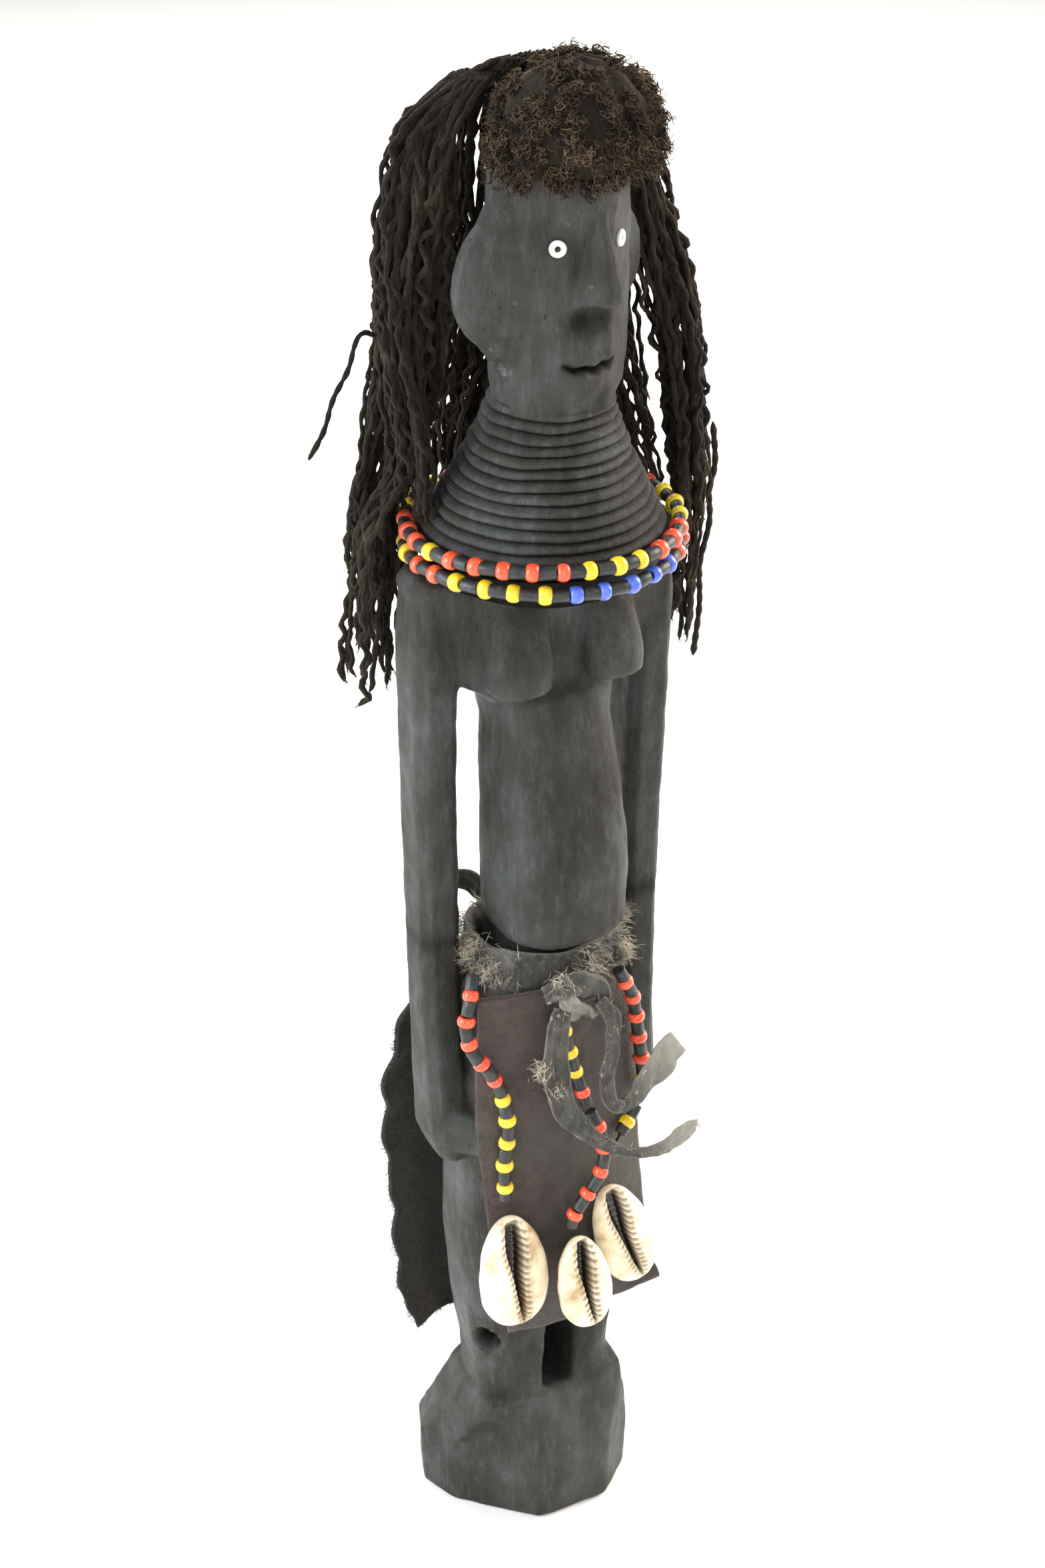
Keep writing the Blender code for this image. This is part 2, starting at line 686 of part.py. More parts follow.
def strap_tails():
    """The two loose ends of the strap. Each drops from the knot, turns on itself and sticks out to the left."""
    finish = rawhide()
    upper = [(3.6, -30.3, 145.2), (3.2, -31.4, 139.0), (1.4, -32.2, 132.5), (1.8, -33.6, 127.6), (4.4, -34.2, 126.2),
             (7.4, -34.0, 127.6), (10.8, -33.4, 130.4), (14.4, -32.6, 133.4), (18.0, -31.6, 135.8)]  # fmt: skip
    ribbon("strap_tail_upper", upper, (2.0, 1.7, 1.8, 2.2, 2.4, 2.8, 3.6, 4.0, 3.6), (15, 30, 60, 80, 95, 100, 105, 108, 110), 0.9, finish)
    lower = [(-8.2, -29.8, 145.6), (-9.2, -31.0, 137.0), (-7.6, -32.0, 128.0), (-3.2, -34.6, 121.6), (2.2, -37.4, 118.2),
             (7.6, -38.4, 116.4), (12.8, -37.2, 115.4), (17.8, -34.8, 114.6), (22.2, -33.4, 114.4)]  # fmt: skip
    ribbon("strap_tail_lower", lower, (2.8, 3.8, 3.4, 2.2, 1.5, 1.6, 2.0, 2.4, 1.8), (0, 5, 25, 60, 85, 92, 96, 100, 100), 0.9, finish)


def tie_loop():
    """The skirt's own tie, which stands up in a small loop behind the right hip."""
    points = [(-3.0, 8.6, 151.0), (-7.4, 8.8, 158.0), (-13.0, 7.8, 160.6), (-18.0, 6.2, 158.0), (-20.4, 5.4, 151.6)]
    ribbon("tie_loop", points, (1.5, 1.9, 2.0, 1.7, 1.2), (80, 70, 60, 45, 35), 0.9, goat_hide())


APRON_TOP = 147.0
APRON_X = -3.8


def apron_front(z):
    """How far forward the apron's middle hangs at a height."""
    return -23.2 - 8.0 * (APRON_TOP - z) / 78.0


def front_apron():
    """A leather panel that hangs in front from under the strap and stands clear of the shins."""
    rows = []
    for z, left, right, drop_right, curl in (
        (APRON_TOP, -16.6, 15.5, 0.0, 0.0),
        (138.0, -17.8, 17.2, 0.0, 0.0),
        (122.0, -18.4, 17.6, 0.0, 0.0),
        (104.0, -17.6, 17.8, 0.0, 0.2),
        (88.0, -16.4, 18.2, 0.6, 0.8),
        (79.0, -15.4, 18.8, 1.6, 2.0),
        (72.0, -14.6, 19.6, 3.4, 3.6),
    ):
        row = []
        for i in range(9):
            share = i / 8
            x = left + (right - left) * share
            rise = drop_right * share**1.6
            y = apron_front(z) + 0.012 * x * x - curl * max(0.0, share - 0.55) ** 2 * 6
            row.append((x + APRON_X, y, z + rise))
        rows.append(row)
    return sheet("front_apron", rows, 1.1, oiled_leather())


def back_skirt():
    """A long goatskin that hangs behind from the waist to the base, with a wavy cut edge."""
    rows = []
    for z, half, depth in (
        (147.0, 15.0, 8.0), (138.0, 21.5, 10.4), (126.0, 24.2, 13.0), (112.0, 26.2, 15.2), (98.0, 26.2, 16.4),
        (84.0, 25.0, 17.0), (70.0, 24.2, 17.4), (56.0, 23.2, 17.8), (46.0, 22.0, 18.2), (37.0, 18.0, 18.6),
    ):  # fmt: skip
        row = []
        for i in range(11):
            share = 2 * i / 10 - 1
            ripple = 0.7 * math.sin(3.2 * math.pi * share + z * 0.04)
            row.append((half * share, depth - 4.6 * share**2 * (z / 147.0) + ripple, z - 2.0 * math.cos(5 * share)))
        rows.append(row)
    return sheet("back_skirt", rows, 1.3, goat_hide())


# Bead strings and cowries -------------------------------------------------------------


def on_apron(x, z, off=0.0):
    """A place for a string's centre line that lies on the apron, or off it by that much more."""
    return (x + APRON_X, apron_front(z) + 0.012 * x * x - 0.55 - GAP - STRING_BEAD_R - off, z)


def bead_string(name, route_points, colours, lead, finish):
    """A thread with rubber tubes and the glass beads between them. The beads are separate pieces."""
    route = smooth_route(route_points)
    total = length_of(route)
    half = BEAD_LENGTH / 2 + GAP
    stops = [lead + i * STRING_PITCH for i in range(len(colours))]
    radii = [(0.0, SPACER_R)]
    for at in stops:
        radii += [(at - half, SPACER_R), (at - half + 0.05, THREAD_R), (at + half - 0.05, THREAD_R), (at + half, SPACER_R)]
    radii.append((total, SPACER_R))
    tube(name + "_thread", route, radii, finish, 6)
    for number, (at, colour) in enumerate(zip(stops, colours), 1):
        place, along = point_at(route, at)
        bead(f"{name}_bead_{number:02d}", place, along, STRING_BEAD_R, THREAD_R + GAP, BEAD_LENGTH, bead_glass(colour))


def bead_strings():
    finish = black_rubber()
    orange, yellow = ["orange"], ["yellow"]
    right = [(-21.0, -18.8, 155.2), (-22.6, -20.9, 152.0), (-24.1, -22.0, 146.5), (-23.2, -23.4, 141.2), on_apron(-16.9, 137.1, 1.0), on_apron(-14.7, 132.3),
             on_apron(-13.7, 127.2), on_apron(-13.4, 122.1), on_apron(-14.2, 116.8), on_apron(-14.6, 111.8), on_apron(-14.6, 106.0)]  # fmt: skip
    bead_string("string_right", right, orange * 5 + yellow * 5, 3.4, finish)
    upper = [on_apron(-1.6, 144.6), on_apron(-1.0, 141.4), on_apron(0.2, 135.6), on_apron(1.8, 129.4), on_apron(3.0, 124.4, 0.9)]
    bead_string("string_middle_upper", upper, yellow * 3 + orange, 2.6, finish)
    lower = [on_apron(3.6, 122.5, 1.5), on_apron(4.9, 118.0, 2.5), on_apron(5.2, 113.6, 3.3), on_apron(3.3, 109.2, 3.6), on_apron(0.3, 105.4, 3.3),
             on_apron(-2.4, 101.4, 3.0), on_apron(-2.9, 98.8, 2.8)]  # fmt: skip
    bead_string("string_middle_lower", lower, orange * 5, 3.2, finish)
    upper = [(9.2, -23.9, 149.6), (10.2, -24.1, 147.4), (11.6, -24.0, 144.5), (12.8, -23.6, 139.6), (13.6, -23.9, 133.0), (14.4, -24.6, 124.0), (14.2, -24.8, 119.8)]
    bead_string("string_left_upper", upper, orange * 5 + yellow, 2.0, finish)
    lower = [on_apron(17.0, 118.6), on_apron(15.0, 116.4), on_apron(11.4, 113.4), on_apron(8.6, 109.9), on_apron(7.0, 107.4)]
    bead_string("string_left_lower", lower, yellow * 1, 5.4, finish)


def cowrie(name, top, bottom, width, depth):
    """A cowrie with its long toothed mouth in front, hung by its narrow end."""
    top, bottom = Vector(top), Vector(bottom)
    along = (top - bottom).normalized()
    length = (top - bottom).length
    front = (Vector((0, -1, 0)) - along * along.dot(Vector((0, -1, 0)))).normalized()
    across = along.cross(front)
    middle = (top + bottom) / 2
    rings = []
    for i in range(1, 10):
        share = i / 10
        swell = math.sin(math.pi * share) ** 0.62 * (1.0 - 0.16 * (share - 0.45))
        place = middle + along * length * (share - 0.5)
        ring = []
        for j in range(14):
            angle = 2 * math.pi * j / 14
            out = math.sin(angle) * depth / 2 * (0.7 if math.sin(angle) > 0 else 1.0)
            ring.append(place + across * math.cos(angle) * width / 2 * swell + front * out * swell)
        rings.append(ring)
    shell = loft(name, rings, cowrie_shell())
    slit_rings = []
    for share, half in ((-0.4, 0.35), (-0.1, 0.75), (0.2, 0.9), (0.44, 0.7)):
        place = middle + along * length * share + across * (share - 0.1) ** 2 * 1.6
        slit_rings.append([place + front * 6 + across * half, place + front * 6 - across * half, place + front * 0.6])
    combine(shell, "DIFFERENCE", loft(name + "_slit", slit_rings, cowrie_shell()))
    return shell


def cowries():
    def hung(x, z, off):
        return (x + APRON_X, apron_front(z) + 0.012 * x * x - 0.55 - GAP - off, z)

    cowrie("cowrie_right", hung(-16.0, 104.2, 5.2), hung(-15.0, 79.6, 5.4), 14.6, 9.6)
    cowrie("cowrie_middle", hung(-2.7, 97.4, 6.4), hung(-1.2, 77.4, 7.8), 11.4, 8.0)
    cowrie("cowrie_left", hung(5.6, 104.6, 4.4), hung(13.6, 79.8, 4.6), 12.6, 7.6)


HINGES = {
    "hair_lock_right": (-14.0, 3.0, 317.0),
    "hair_lock_left": (16.8, 2.4, 317.0),
    "hair_back": (1.4, 1.6, 319.0),
    "upper_necklace": (NECK_X, NECK_BASE_Y, 242.2),
    "lower_necklace": (NECK_X, NECK_BASE_Y, 238.2),
    "back_skirt": (0.0, 8.0, 146.4),
    "front_apron": (APRON_X, -23.2, 146.4),
    "strap_tail_upper": (3.6, -30.3, 145.2),
    "strap_tail_lower": (-8.2, -29.8, 145.6),
    "string_right_thread": (-21.0, -18.8, 154.8),
    "string_left_lower_thread": (2.0, -28.4, 122.6),
    "string_middle_lower_thread": (2.0, -28.4, 122.6),
    "cowrie_right": (-19.7, -32.4, 104.2),
    "cowrie_middle": (-6.5, -35.4, 97.4),
}


def set_origins():
    """Puts each moving piece's origin on the line it turns about."""
    for name, place in HINGES.items():
        obj = bpy.data.objects[name]
        spot = Vector(place) * MM
        obj.data.transform(Matrix.Translation(-spot))
        obj.location = spot


def main():
    clear_scene()
    carved_figure()
    eyes()
    hair_cap()
    hair_locks()
    stray_cords()
    necklaces()
    waist_strap()
    strap_knot()
    strap_tails()
    tie_loop()
    front_apron()
    back_skirt()
    bead_strings()
    cowries()
    set_origins()


main()
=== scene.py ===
"""The looks of a carved Turkana-style fertility doll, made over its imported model."""

import math
import random

import bmesh
import bpy
from mathutils import Matrix, Vector, noise


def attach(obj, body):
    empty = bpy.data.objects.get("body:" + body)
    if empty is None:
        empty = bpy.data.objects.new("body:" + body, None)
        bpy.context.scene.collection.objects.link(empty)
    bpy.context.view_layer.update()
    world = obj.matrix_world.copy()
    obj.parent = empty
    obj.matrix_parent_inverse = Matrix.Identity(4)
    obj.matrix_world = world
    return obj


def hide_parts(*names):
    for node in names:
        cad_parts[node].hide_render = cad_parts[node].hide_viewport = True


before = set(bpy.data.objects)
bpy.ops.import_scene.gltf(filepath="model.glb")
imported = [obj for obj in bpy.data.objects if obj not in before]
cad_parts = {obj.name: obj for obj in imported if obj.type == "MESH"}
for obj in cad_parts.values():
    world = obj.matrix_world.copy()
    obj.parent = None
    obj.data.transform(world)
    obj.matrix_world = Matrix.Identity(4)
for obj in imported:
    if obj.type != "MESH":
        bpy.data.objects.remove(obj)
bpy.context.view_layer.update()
MM = 0.001
ANY_TURN = 6.28  # random turns are drawn from 0 to this, in radians
THIRD_TURN = 2.094
WHOLE_TURN = 6.283
bpy.ops.object.select_all(action="DESELECT")


# Camera -------------------------------------------------------------------------------

LENS = 55.1
CAMERA_AT = (-0.191, -0.359, 0.418)
TURN, TILT = math.radians(28), math.radians(30)

camera = bpy.data.objects.new("camera", bpy.data.cameras.new("camera"))
bpy.context.scene.collection.objects.link(camera)
camera.data.lens = LENS
camera.data.clip_start = 0.02
camera.location = CAMERA_AT
gaze = Vector((math.sin(TURN) * math.cos(TILT), math.cos(TURN) * math.cos(TILT), -math.sin(TILT)))
camera.rotation_euler = gaze.to_track_quat("-Z", "Y").to_euler()
bpy.context.scene.camera = camera


def tone(code):
    """An sRGB hex colour as linear RGBA."""
    parts = [int(code[i : i + 2], 16) / 255 for i in (1, 3, 5)]
    return (*[c / 12.92 if c <= 0.04045 else ((c + 0.055) / 1.055) ** 2.4 for c in parts], 1.0)


def put(tree, kind, sockets=(), **settings):
    """Adds a node with its settings. A socket's value is a number, a colour, or another node's output to link."""
    node = tree.nodes.new(kind)
    for key, value in settings.items():
        setattr(node, key, value)
    for key, value in dict(sockets).items():
        if isinstance(value, bpy.types.NodeSocket):
            tree.links.new(value, node.inputs[key])
        else:
            node.inputs[key].default_value = value
    return node


def finish_named(name, roughness, **shader):
    """A new material, its tree, its Principled shader and its Object coordinates."""
    made = bpy.data.materials.new(name)
    made.use_nodes = True
    tree = made.node_tree
    body = tree.nodes["Principled BSDF"]
    body.inputs["Roughness"].default_value = roughness
    for key, value in shader.items():
        body.inputs[key.replace("_", " ")].default_value = value
    place = put(tree, "ShaderNodeTexCoord").outputs["Object"]
    return made, tree, body, place


def ramp(tree, value, *stops):
    """A colour, or a grey from 0 to 1, for each (value, colour) stop."""
    node = put(tree, "ShaderNodeValToRGB", {"Fac": value})
    band = node.color_ramp
    while len(band.elements) < len(stops):
        band.elements.new(0.5)
    for element, (at, colour) in zip(band.elements, stops):
        element.position = at
        element.color = tone(colour) if isinstance(colour, str) else (colour, colour, colour, 1)
    return node.outputs["Color"]


def blend_colour(tree, share, first, second):
    """The first colour, with a share of the second over it."""
    node = put(tree, "ShaderNodeMix", data_type="RGBA", blend_type="MIX")
    for socket, value in zip((node.inputs[0], node.inputs[6], node.inputs[7]), (share, first, second)):
        if isinstance(value, bpy.types.NodeSocket):
            tree.links.new(value, socket)
        else:
            socket.default_value = value
    return node.outputs[2]


def grainy(tree, place, size_mm, stretch=(1, 1, 1), detail=4.0, rough=0.55):
    """Noise whose blotches are size_mm across, stretched along an axis by more than 1."""
    spread = put(tree, "ShaderNodeMapping", {"Vector": place, "Scale": tuple(1 / s for s in stretch)})
    sockets = {"Vector": spread.outputs[0], "Scale": 1000 / size_mm, "Detail": detail, "Roughness": rough}
    return put(tree, "ShaderNodeTexNoise", sockets).outputs["Fac"]


def relief(tree, body, height, depth_mm, under=None):
    """Bump of that depth, laid over another bump."""
    links = {"Height": height, "Distance": depth_mm * MM, "Strength": 1.0}
    if under is not None:
        links["Normal"] = under
    bump = put(tree, "ShaderNodeBump", links)
    tree.links.new(bump.outputs[0], body.inputs["Normal"])
    return bump.outputs[0]


def link_colour(tree, body, colour):
    """The colour node as the shader's base colour."""
    tree.links.new(colour, body.inputs["Base Color"])


def dyed_wood():
    """Soft wood carved with a knife and dyed black: rubbed grey on its edges, brown in its cuts.

    A point attribute takes colour and shine from what lies in a groove or under the belly, as painted shade.
    """
    made, tree, body, place = finish_named("dyed_wood", 0.6)
    broad = grainy(tree, place, 34, (1, 1, 1.8), 6, 0.6)
    patches = grainy(tree, place, 12, (1, 1, 1.5), 6, 0.6)
    streaks = grainy(tree, place, 2.0, (1, 1, 4), 7, 0.75)
    fine = grainy(tree, place, 0.8, (1, 1, 3), 4, 0.7)
    base = ramp(tree, broad, (0.36, "#24221f"), (0.5, "#32312c"), (0.62, "#41423e"))
    patchy = ramp(tree, patches, (0.36, "#201e1b"), (0.5, "#32312c"), (0.66, "#4c5254"))
    brushed = ramp(tree, streaks, (0.38, "#1d1b17"), (0.52, "#33322e"), (0.70, "#5c6265"))
    streaky = blend_colour(tree, 0.3, blend_colour(tree, 0.5, base, patchy), brushed)
    edges = put(tree, "ShaderNodeNewGeometry").outputs["Pointiness"]
    faint = put(tree, "ShaderNodeMath", {0: streaks, 1: 0.1}, operation="MULTIPLY").outputs[0]
    scuffed = put(tree, "ShaderNodeMath", {0: edges, 1: faint}, operation="ADD").outputs[0]
    worn = ramp(tree, scuffed, (0.59, 0.0), (0.76, 0.6))
    cuts = ramp(tree, edges, (0.40, 1.0), (0.485, 0.0))
    rubbed = blend_colour(tree, worn, streaky, tone("#62676a"))
    brown = blend_colour(tree, cuts, rubbed, tone("#1c1510"))
    specks = ramp(tree, fine, (0.30, 0.75), (0.37, 0.0))
    speckled = blend_colour(tree, specks, brown, tone("#110e0b"))
    # painted shade: the point attribute darkens grooves, hollows, the fold under the belly and the space between the
    # legs, and dulls their shine
    soot = put(tree, "ShaderNodeAttribute", attribute_name="soot").outputs["Fac"]
    link_colour(tree, body, blend_colour(tree, soot, speckled, tone("#0a0806")))
    shine = put(tree, "ShaderNodeMapRange", {"Value": soot, "To Min": 0.22, "To Max": 0.03})
    tree.links.new(shine.outputs[0], body.inputs["Specular IOR Level"])
    limits = {"Value": patches, "From Min": 0.35, "From Max": 0.65, "To Min": 0.74, "To Max": 0.48}
    sheen = put(tree, "ShaderNodeMapRange", limits)
    tree.links.new(sheen.outputs[0], body.inputs["Roughness"])
    upright = put(tree, "ShaderNodeMapping", {"Vector": place, "Scale": (1, 1, 0.35)}).outputs[0]
    facets = put(tree, "ShaderNodeTexVoronoi", {"Vector": upright, "Scale": 150.0}, feature="SMOOTH_F1")
    first = relief(tree, body, facets.outputs["Distance"], 0.35)
    second = relief(tree, body, streaks, 0.3, first)
    relief(tree, body, fine, 0.2, second)
    return made


def yarn_wool(name, dark, mid, lit):
    """Twisted wool: matt, dark at the core and brown where loose fibres catch the light."""
    nap_look = {"Specular_IOR_Level": 0.2, "Sheen_Weight": 0.25, "Sheen_Roughness": 0.5}
    made, tree, body, place = finish_named(name, 0.92, **nap_look)
    body.inputs["Sheen Tint"].default_value = tone("#8a7358")
    patches = grainy(tree, place, 7, (1, 1, 2), 3)
    fibres = grainy(tree, place, 0.6, (1, 1, 2), 3, 0.7)
    base = ramp(tree, patches, (0.35, dark), (0.6, mid), (0.78, lit))
    combed = ramp(tree, fibres, (0.35, dark), (0.6, mid), (0.8, lit))
    link_colour(tree, body, blend_colour(tree, 0.5, base, combed))
    relief(tree, body, fibres, 0.25)
    return made


def bead_glass(name, colour, deep):
    """Opaque pressed glass: saturated, glossy, with a faint cloudiness."""
    glaze = {"IOR": 1.52, "Coat_Weight": 0.3, "Coat_Roughness": 0.12, "Subsurface_Weight": 0.15}
    made, tree, body, place = finish_named(name, 0.28, Subsurface_Scale=0.0008, **glaze)
    cloud = grainy(tree, place, 2.2, detail=2)
    link_colour(tree, body, ramp(tree, cloud, (0.3, deep), (0.62, colour)))
    relief(tree, body, grainy(tree, place, 0.5), 0.02)
    return made


def cut_rubber():
    """Short lengths of black tube, slightly shiny and dusty."""
    made, tree, body, place = finish_named("black_rubber", 0.42, Specular_IOR_Level=0.5)
    dust = grainy(tree, place, 1.6, detail=5, rough=0.7)
    link_colour(tree, body, ramp(tree, dust, (0.4, "#1b1c1d"), (0.6, "#2c2e2f"), (0.78, "#5c5f60")))
    relief(tree, body, dust, 0.05)
    return made


def oiled_leather():
    """Old vegetable-tanned leather: reddish brown and matt, with a fine pebble and dusty patches."""
    made, tree, body, place = finish_named("oiled_leather", 0.62, Specular_IOR_Level=0.35, Sheen_Weight=0.1)
    broad = grainy(tree, place, 14, detail=5)
    pebble = put(tree, "ShaderNodeTexVoronoi", {"Vector": place, "Scale": 1000 / 0.55}, feature="F1")
    creases = grainy(tree, place, 3.2, detail=6, rough=0.72)
    dust = grainy(tree, place, 22, (1, 1, 1.5), 5, 0.6)
    base = ramp(tree, broad, (0.3, "#1d1815"), (0.5, "#332825"), (0.7, "#4b3c38"))
    mixed = blend_colour(tree, 0.35, base, ramp(tree, creases, (0.35, "#1c1b17"), (0.68, "#5a4f49")))
    dusty = ramp(tree, dust, (0.46, 0.0), (0.6, 0.65))
    link_colour(tree, body, blend_colour(tree, dusty, mixed, tone("#3f403a")))
    first = relief(tree, body, creases, 0.2)
    relief(tree, body, pebble.outputs["Distance"], 0.1, first)
    return made


def dressed_goatskin():
    """Soft near-black hide with a suede nap and grey dust on its folds."""
    nap_look = {"Specular_IOR_Level": 0.25, "Sheen_Weight": 0.3, "Sheen_Roughness": 0.4}
    made, tree, body, place = finish_named("goat_hide", 0.88, **nap_look)
    body.inputs["Sheen Tint"].default_value = tone("#7d7a72")
    broad = grainy(tree, place, 9, detail=6, rough=0.65)
    nap = grainy(tree, place, 0.8, detail=4, rough=0.7)
    base = ramp(tree, broad, (0.35, "#171614"), (0.58, "#242220"), (0.8, "#3b3936"))
    brushed = ramp(tree, nap, (0.4, "#1a1917"), (0.75, "#46433f"))
    link_colour(tree, body, blend_colour(tree, 0.4, base, brushed))
    first = relief(tree, body, broad, 0.6)
    relief(tree, body, nap, 0.15, first)
    return made


def grey_rawhide():
    """Thin grey rawhide, stiff and creased, with worn edges, dark grime and ends faded by "pale"."""
    made, tree, body, place = finish_named("rawhide", 0.75, Specular_IOR_Level=0.35)
    broad = grainy(tree, place, 6, detail=6, rough=0.7)
    creases = grainy(tree, place, 1.4, (1, 1, 3), 5, 0.7)
    edges = put(tree, "ShaderNodeNewGeometry").outputs["Pointiness"]
    base = ramp(tree, broad, (0.3, "#1f1e1b"), (0.5, "#383733"), (0.72, "#5a5953"))
    mixed = blend_colour(tree, 0.4, base, ramp(tree, creases, (0.35, "#272622"), (0.7, "#6c6b64")))
    pale = put(tree, "ShaderNodeAttribute", attribute_name="pale").outputs["Fac"]
    faded = blend_colour(tree, pale, mixed, tone("#8f8e85"))
    worn = ramp(tree, edges, (0.52, 0.0), (0.62, 0.6))
    link_colour(tree, body, blend_colour(tree, worn, faded, tone("#a3a196")))
    first = relief(tree, body, broad, 0.7)
    relief(tree, body, creases, 0.35, first)
    return made


def cowrie_shell():
    """Polished natural shell: cream porcelain, tan between the teeth, and painted shade in the dark mouth."""
    polish = {"IOR": 1.53, "Coat_Weight": 0.25, "Coat_Roughness": 0.1, "Subsurface_Weight": 0.1}
    made, tree, body, place = finish_named("cowrie_shell", 0.24, Subsurface_Scale=0.001, **polish)
    mouth = put(tree, "ShaderNodeAttribute", attribute_name="mouth").outputs["Fac"]
    teeth = put(tree, "ShaderNodeAttribute", attribute_name="teeth").outputs["Fac"]
    stain = grainy(tree, place, 7, detail=5, rough=0.6)
    cream = ramp(tree, stain, (0.34, "#ebe1ca"), (0.54, "#d9cbab"), (0.70, "#ab8e64"))
    toothed = blend_colour(tree, teeth, cream, tone("#6b5238"))
    # the mouth slit goes near black: painted shade
    link_colour(tree, body, blend_colour(tree, mouth, toothed, tone("#1a110a")))
    relief(tree, body, grainy(tree, place, 1.2, detail=3), 0.03)
    return made


def goat_hair(name, dark, pale):
    """Coarse loose hair, from its dark root to its pale tip."""
    made, tree, body, place = finish_named(name, 0.6, Specular_IOR_Level=0.4)
    link_colour(tree, body, ramp(tree, grainy(tree, place, 2.5, detail=2), (0.35, dark), (0.62, pale)))
    return made


def pin_steel():
    """A dark, dull pin head."""
    made, tree, body, place = finish_named("steel_pin", 0.45, Metallic=0.8)
    link_colour(tree, body, ramp(tree, grainy(tree, place, 0.4), (0.4, "#1d1b1a"), (0.7, "#4b4642")))
    return made


WOOD = dyed_wood()
WOOL = yarn_wool("black_wool", "#0d0c09", "#221e18", "#463d30")
FUZZ = yarn_wool("wool_fuzz", "#1f1a14", "#3d3226", "#75614a")
FLEECE = yarn_wool("matted_fleece", "#100d0a", "#251e18", "#4a3c30")
# a lighter copy of the fleece for its outer curls: painted highlight
FLEECE_LIT = yarn_wool("fleece_painted_highlight", "#33291f", "#64533f", "#a58b6c")
BEADS = {
    "orange": bead_glass("glass_orange", "#f05a35", "#d8431f"),
    "yellow": bead_glass("glass_yellow", "#eed22c", "#d9b512"),
    "blue": bead_glass("glass_blue", "#5474dc", "#3a57c4"),
    "white": bead_glass("glass_white", "#e9e9e4", "#cfcfc8"),
}
RUBBER = cut_rubber()
LEATHER = oiled_leather()
SKIRT = dressed_goatskin()
RAWHIDE = grey_rawhide()
SHELL = cowrie_shell()
BLOND = goat_hair("blond_goat_hair", "#7d7463", "#cfc7b4")
DARK_HAIR = goat_hair("dark_goat_hair", "#1d1a17", "#55504a")
STEEL = pin_steel()


# Working tools ------------------------------------------------------------------------


def new_piece(name, points, faces, finish, body, smooth=True):
    """A piece from points in metres, with its faces turned outwards. Its finish may be a list."""
    mesh = bpy.data.meshes.new(name)
    mesh.from_pydata(points, [], faces)
    mesh.validate()
    for one in finish if isinstance(finish, list) else [finish]:
        mesh.materials.append(one)
    bm = bmesh.new()
    bm.from_mesh(mesh)
    bmesh.ops.recalc_face_normals(bm, faces=bm.faces)
    for face in bm.faces:
        face.smooth = smooth
    bm.to_mesh(mesh)
    bm.free()
    obj = bpy.data.objects.new(name, mesh)
    bpy.context.scene.collection.objects.link(obj)
    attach(obj, body)
    return obj


def mark_points(obj, name, values):
    """A value for each point, which the finish reads under that name."""
    marks = obj.data.attributes.new(name, "FLOAT", "POINT")
    for mark, value in zip(marks.data, values):
        mark.value = value


def ring_faces(start, rows, around):
    """Quads between rows of points that each go round once, and a face over either end."""
    faces = []
    for low in range(start, start + (rows - 1) * around, around):
        for j in range(around):
            k = (j + 1) % around
            faces.append((low + j, low + k, low + around + k, low + around + j))
    last = start + (rows - 1) * around
    return [*faces, tuple(range(start, start + around)), tuple(range(last, last + around))]


def active(obj):
    """Makes obj the one selected object."""
    bpy.ops.object.select_all(action="DESELECT")
    bpy.context.view_layer.objects.active = obj
    obj.select_set(True)


def apply_modifier(obj, kind, **settings):
    """Adds a modifier and applies it."""
    active(obj)
    step = obj.modifiers.new(kind.lower(), kind)
    for key, value in settings.items():
        setattr(step, key, value)
    bpy.ops.object.modifier_apply(modifier=step.name)


def smooth_route(points, per_span=6):
    """Points along a Catmull-Rom curve through the route's own points."""
    route = [Vector(p) for p in points]
    ends = [2 * route[0] - route[1], *route, 2 * route[-1] - route[-2]]
    out = []
    for a, b, c, d in zip(ends, ends[1:], ends[2:], ends[3:]):
        for i in range(per_span):
            t = i / per_span
            square, cube = 2 * a - 5 * b + 4 * c - d, 3 * b - a - 3 * c + d
            out.append(0.5 * (2 * b + (c - a) * t + square * t * t + cube * t**3))
    return [*out, route[-1]]


def evenly(route, step):
    """The same route, as points about step apart."""
    lengths = [0.0]
    for a, b in zip(route, route[1:]):
        lengths.append(lengths[-1] + (b - a).length)
    count = max(2, round(lengths[-1] / step))
    out, k = [], 0
    for i in range(count + 1):
        want = lengths[-1] * i / count
        while k < len(route) - 2 and lengths[k + 1] < want:
            k += 1
        span = lengths[k + 1] - lengths[k]
        out.append(route[k].lerp(route[k + 1], (want - lengths[k]) / span if span else 0.0))
    return out


def frames_along(route):
    """Two directions across the route at each of its points, which don't spin about it."""
    along = (route[1] - route[0]).normalized()
    across = along.orthogonal().normalized()
    out = []
    for i, place in enumerate(route):
        ahead = (route[min(i + 1, len(route) - 1)] - route[max(i - 1, 0)]).normalized()
        across = (across - ahead * across.dot(ahead)).normalized()
        out.append((place, across, ahead.cross(across)))
    return out


def add_yarn(points, faces, route, radius, rng, twist, sides=7, loose=0.0):
    """A two-ply yarn in millimetres with blunt closed ends; loose opens its last eight points."""
    start = len(points)
    spin, rough = rng.uniform(0, ANY_TURN), rng.uniform(0, 99)
    last = len(route) - 1
    for i, (place, a, b) in enumerate(frames_along(route)):
        end = min(i, last - i)
        thin = (0.35, 0.8, 1.0)[min(end, 2)]
        size = radius * thin * (1 + 0.16 * noise.noise(Vector((rough, i * 0.45, 0))))
        if loose and i > last - 8:
            size *= 1 + loose * (i - last + 8) / 8
        angle = spin + i * twist
        for j in range(sides):
            t = 2 * math.pi * j / sides
            ply = size * (0.62 + 0.38 * abs(math.cos(t - angle)))
            points.append((place + a * ply * math.cos(t) + b * ply * math.sin(t)) * MM)
    faces += ring_faces(start, len(route), sides)


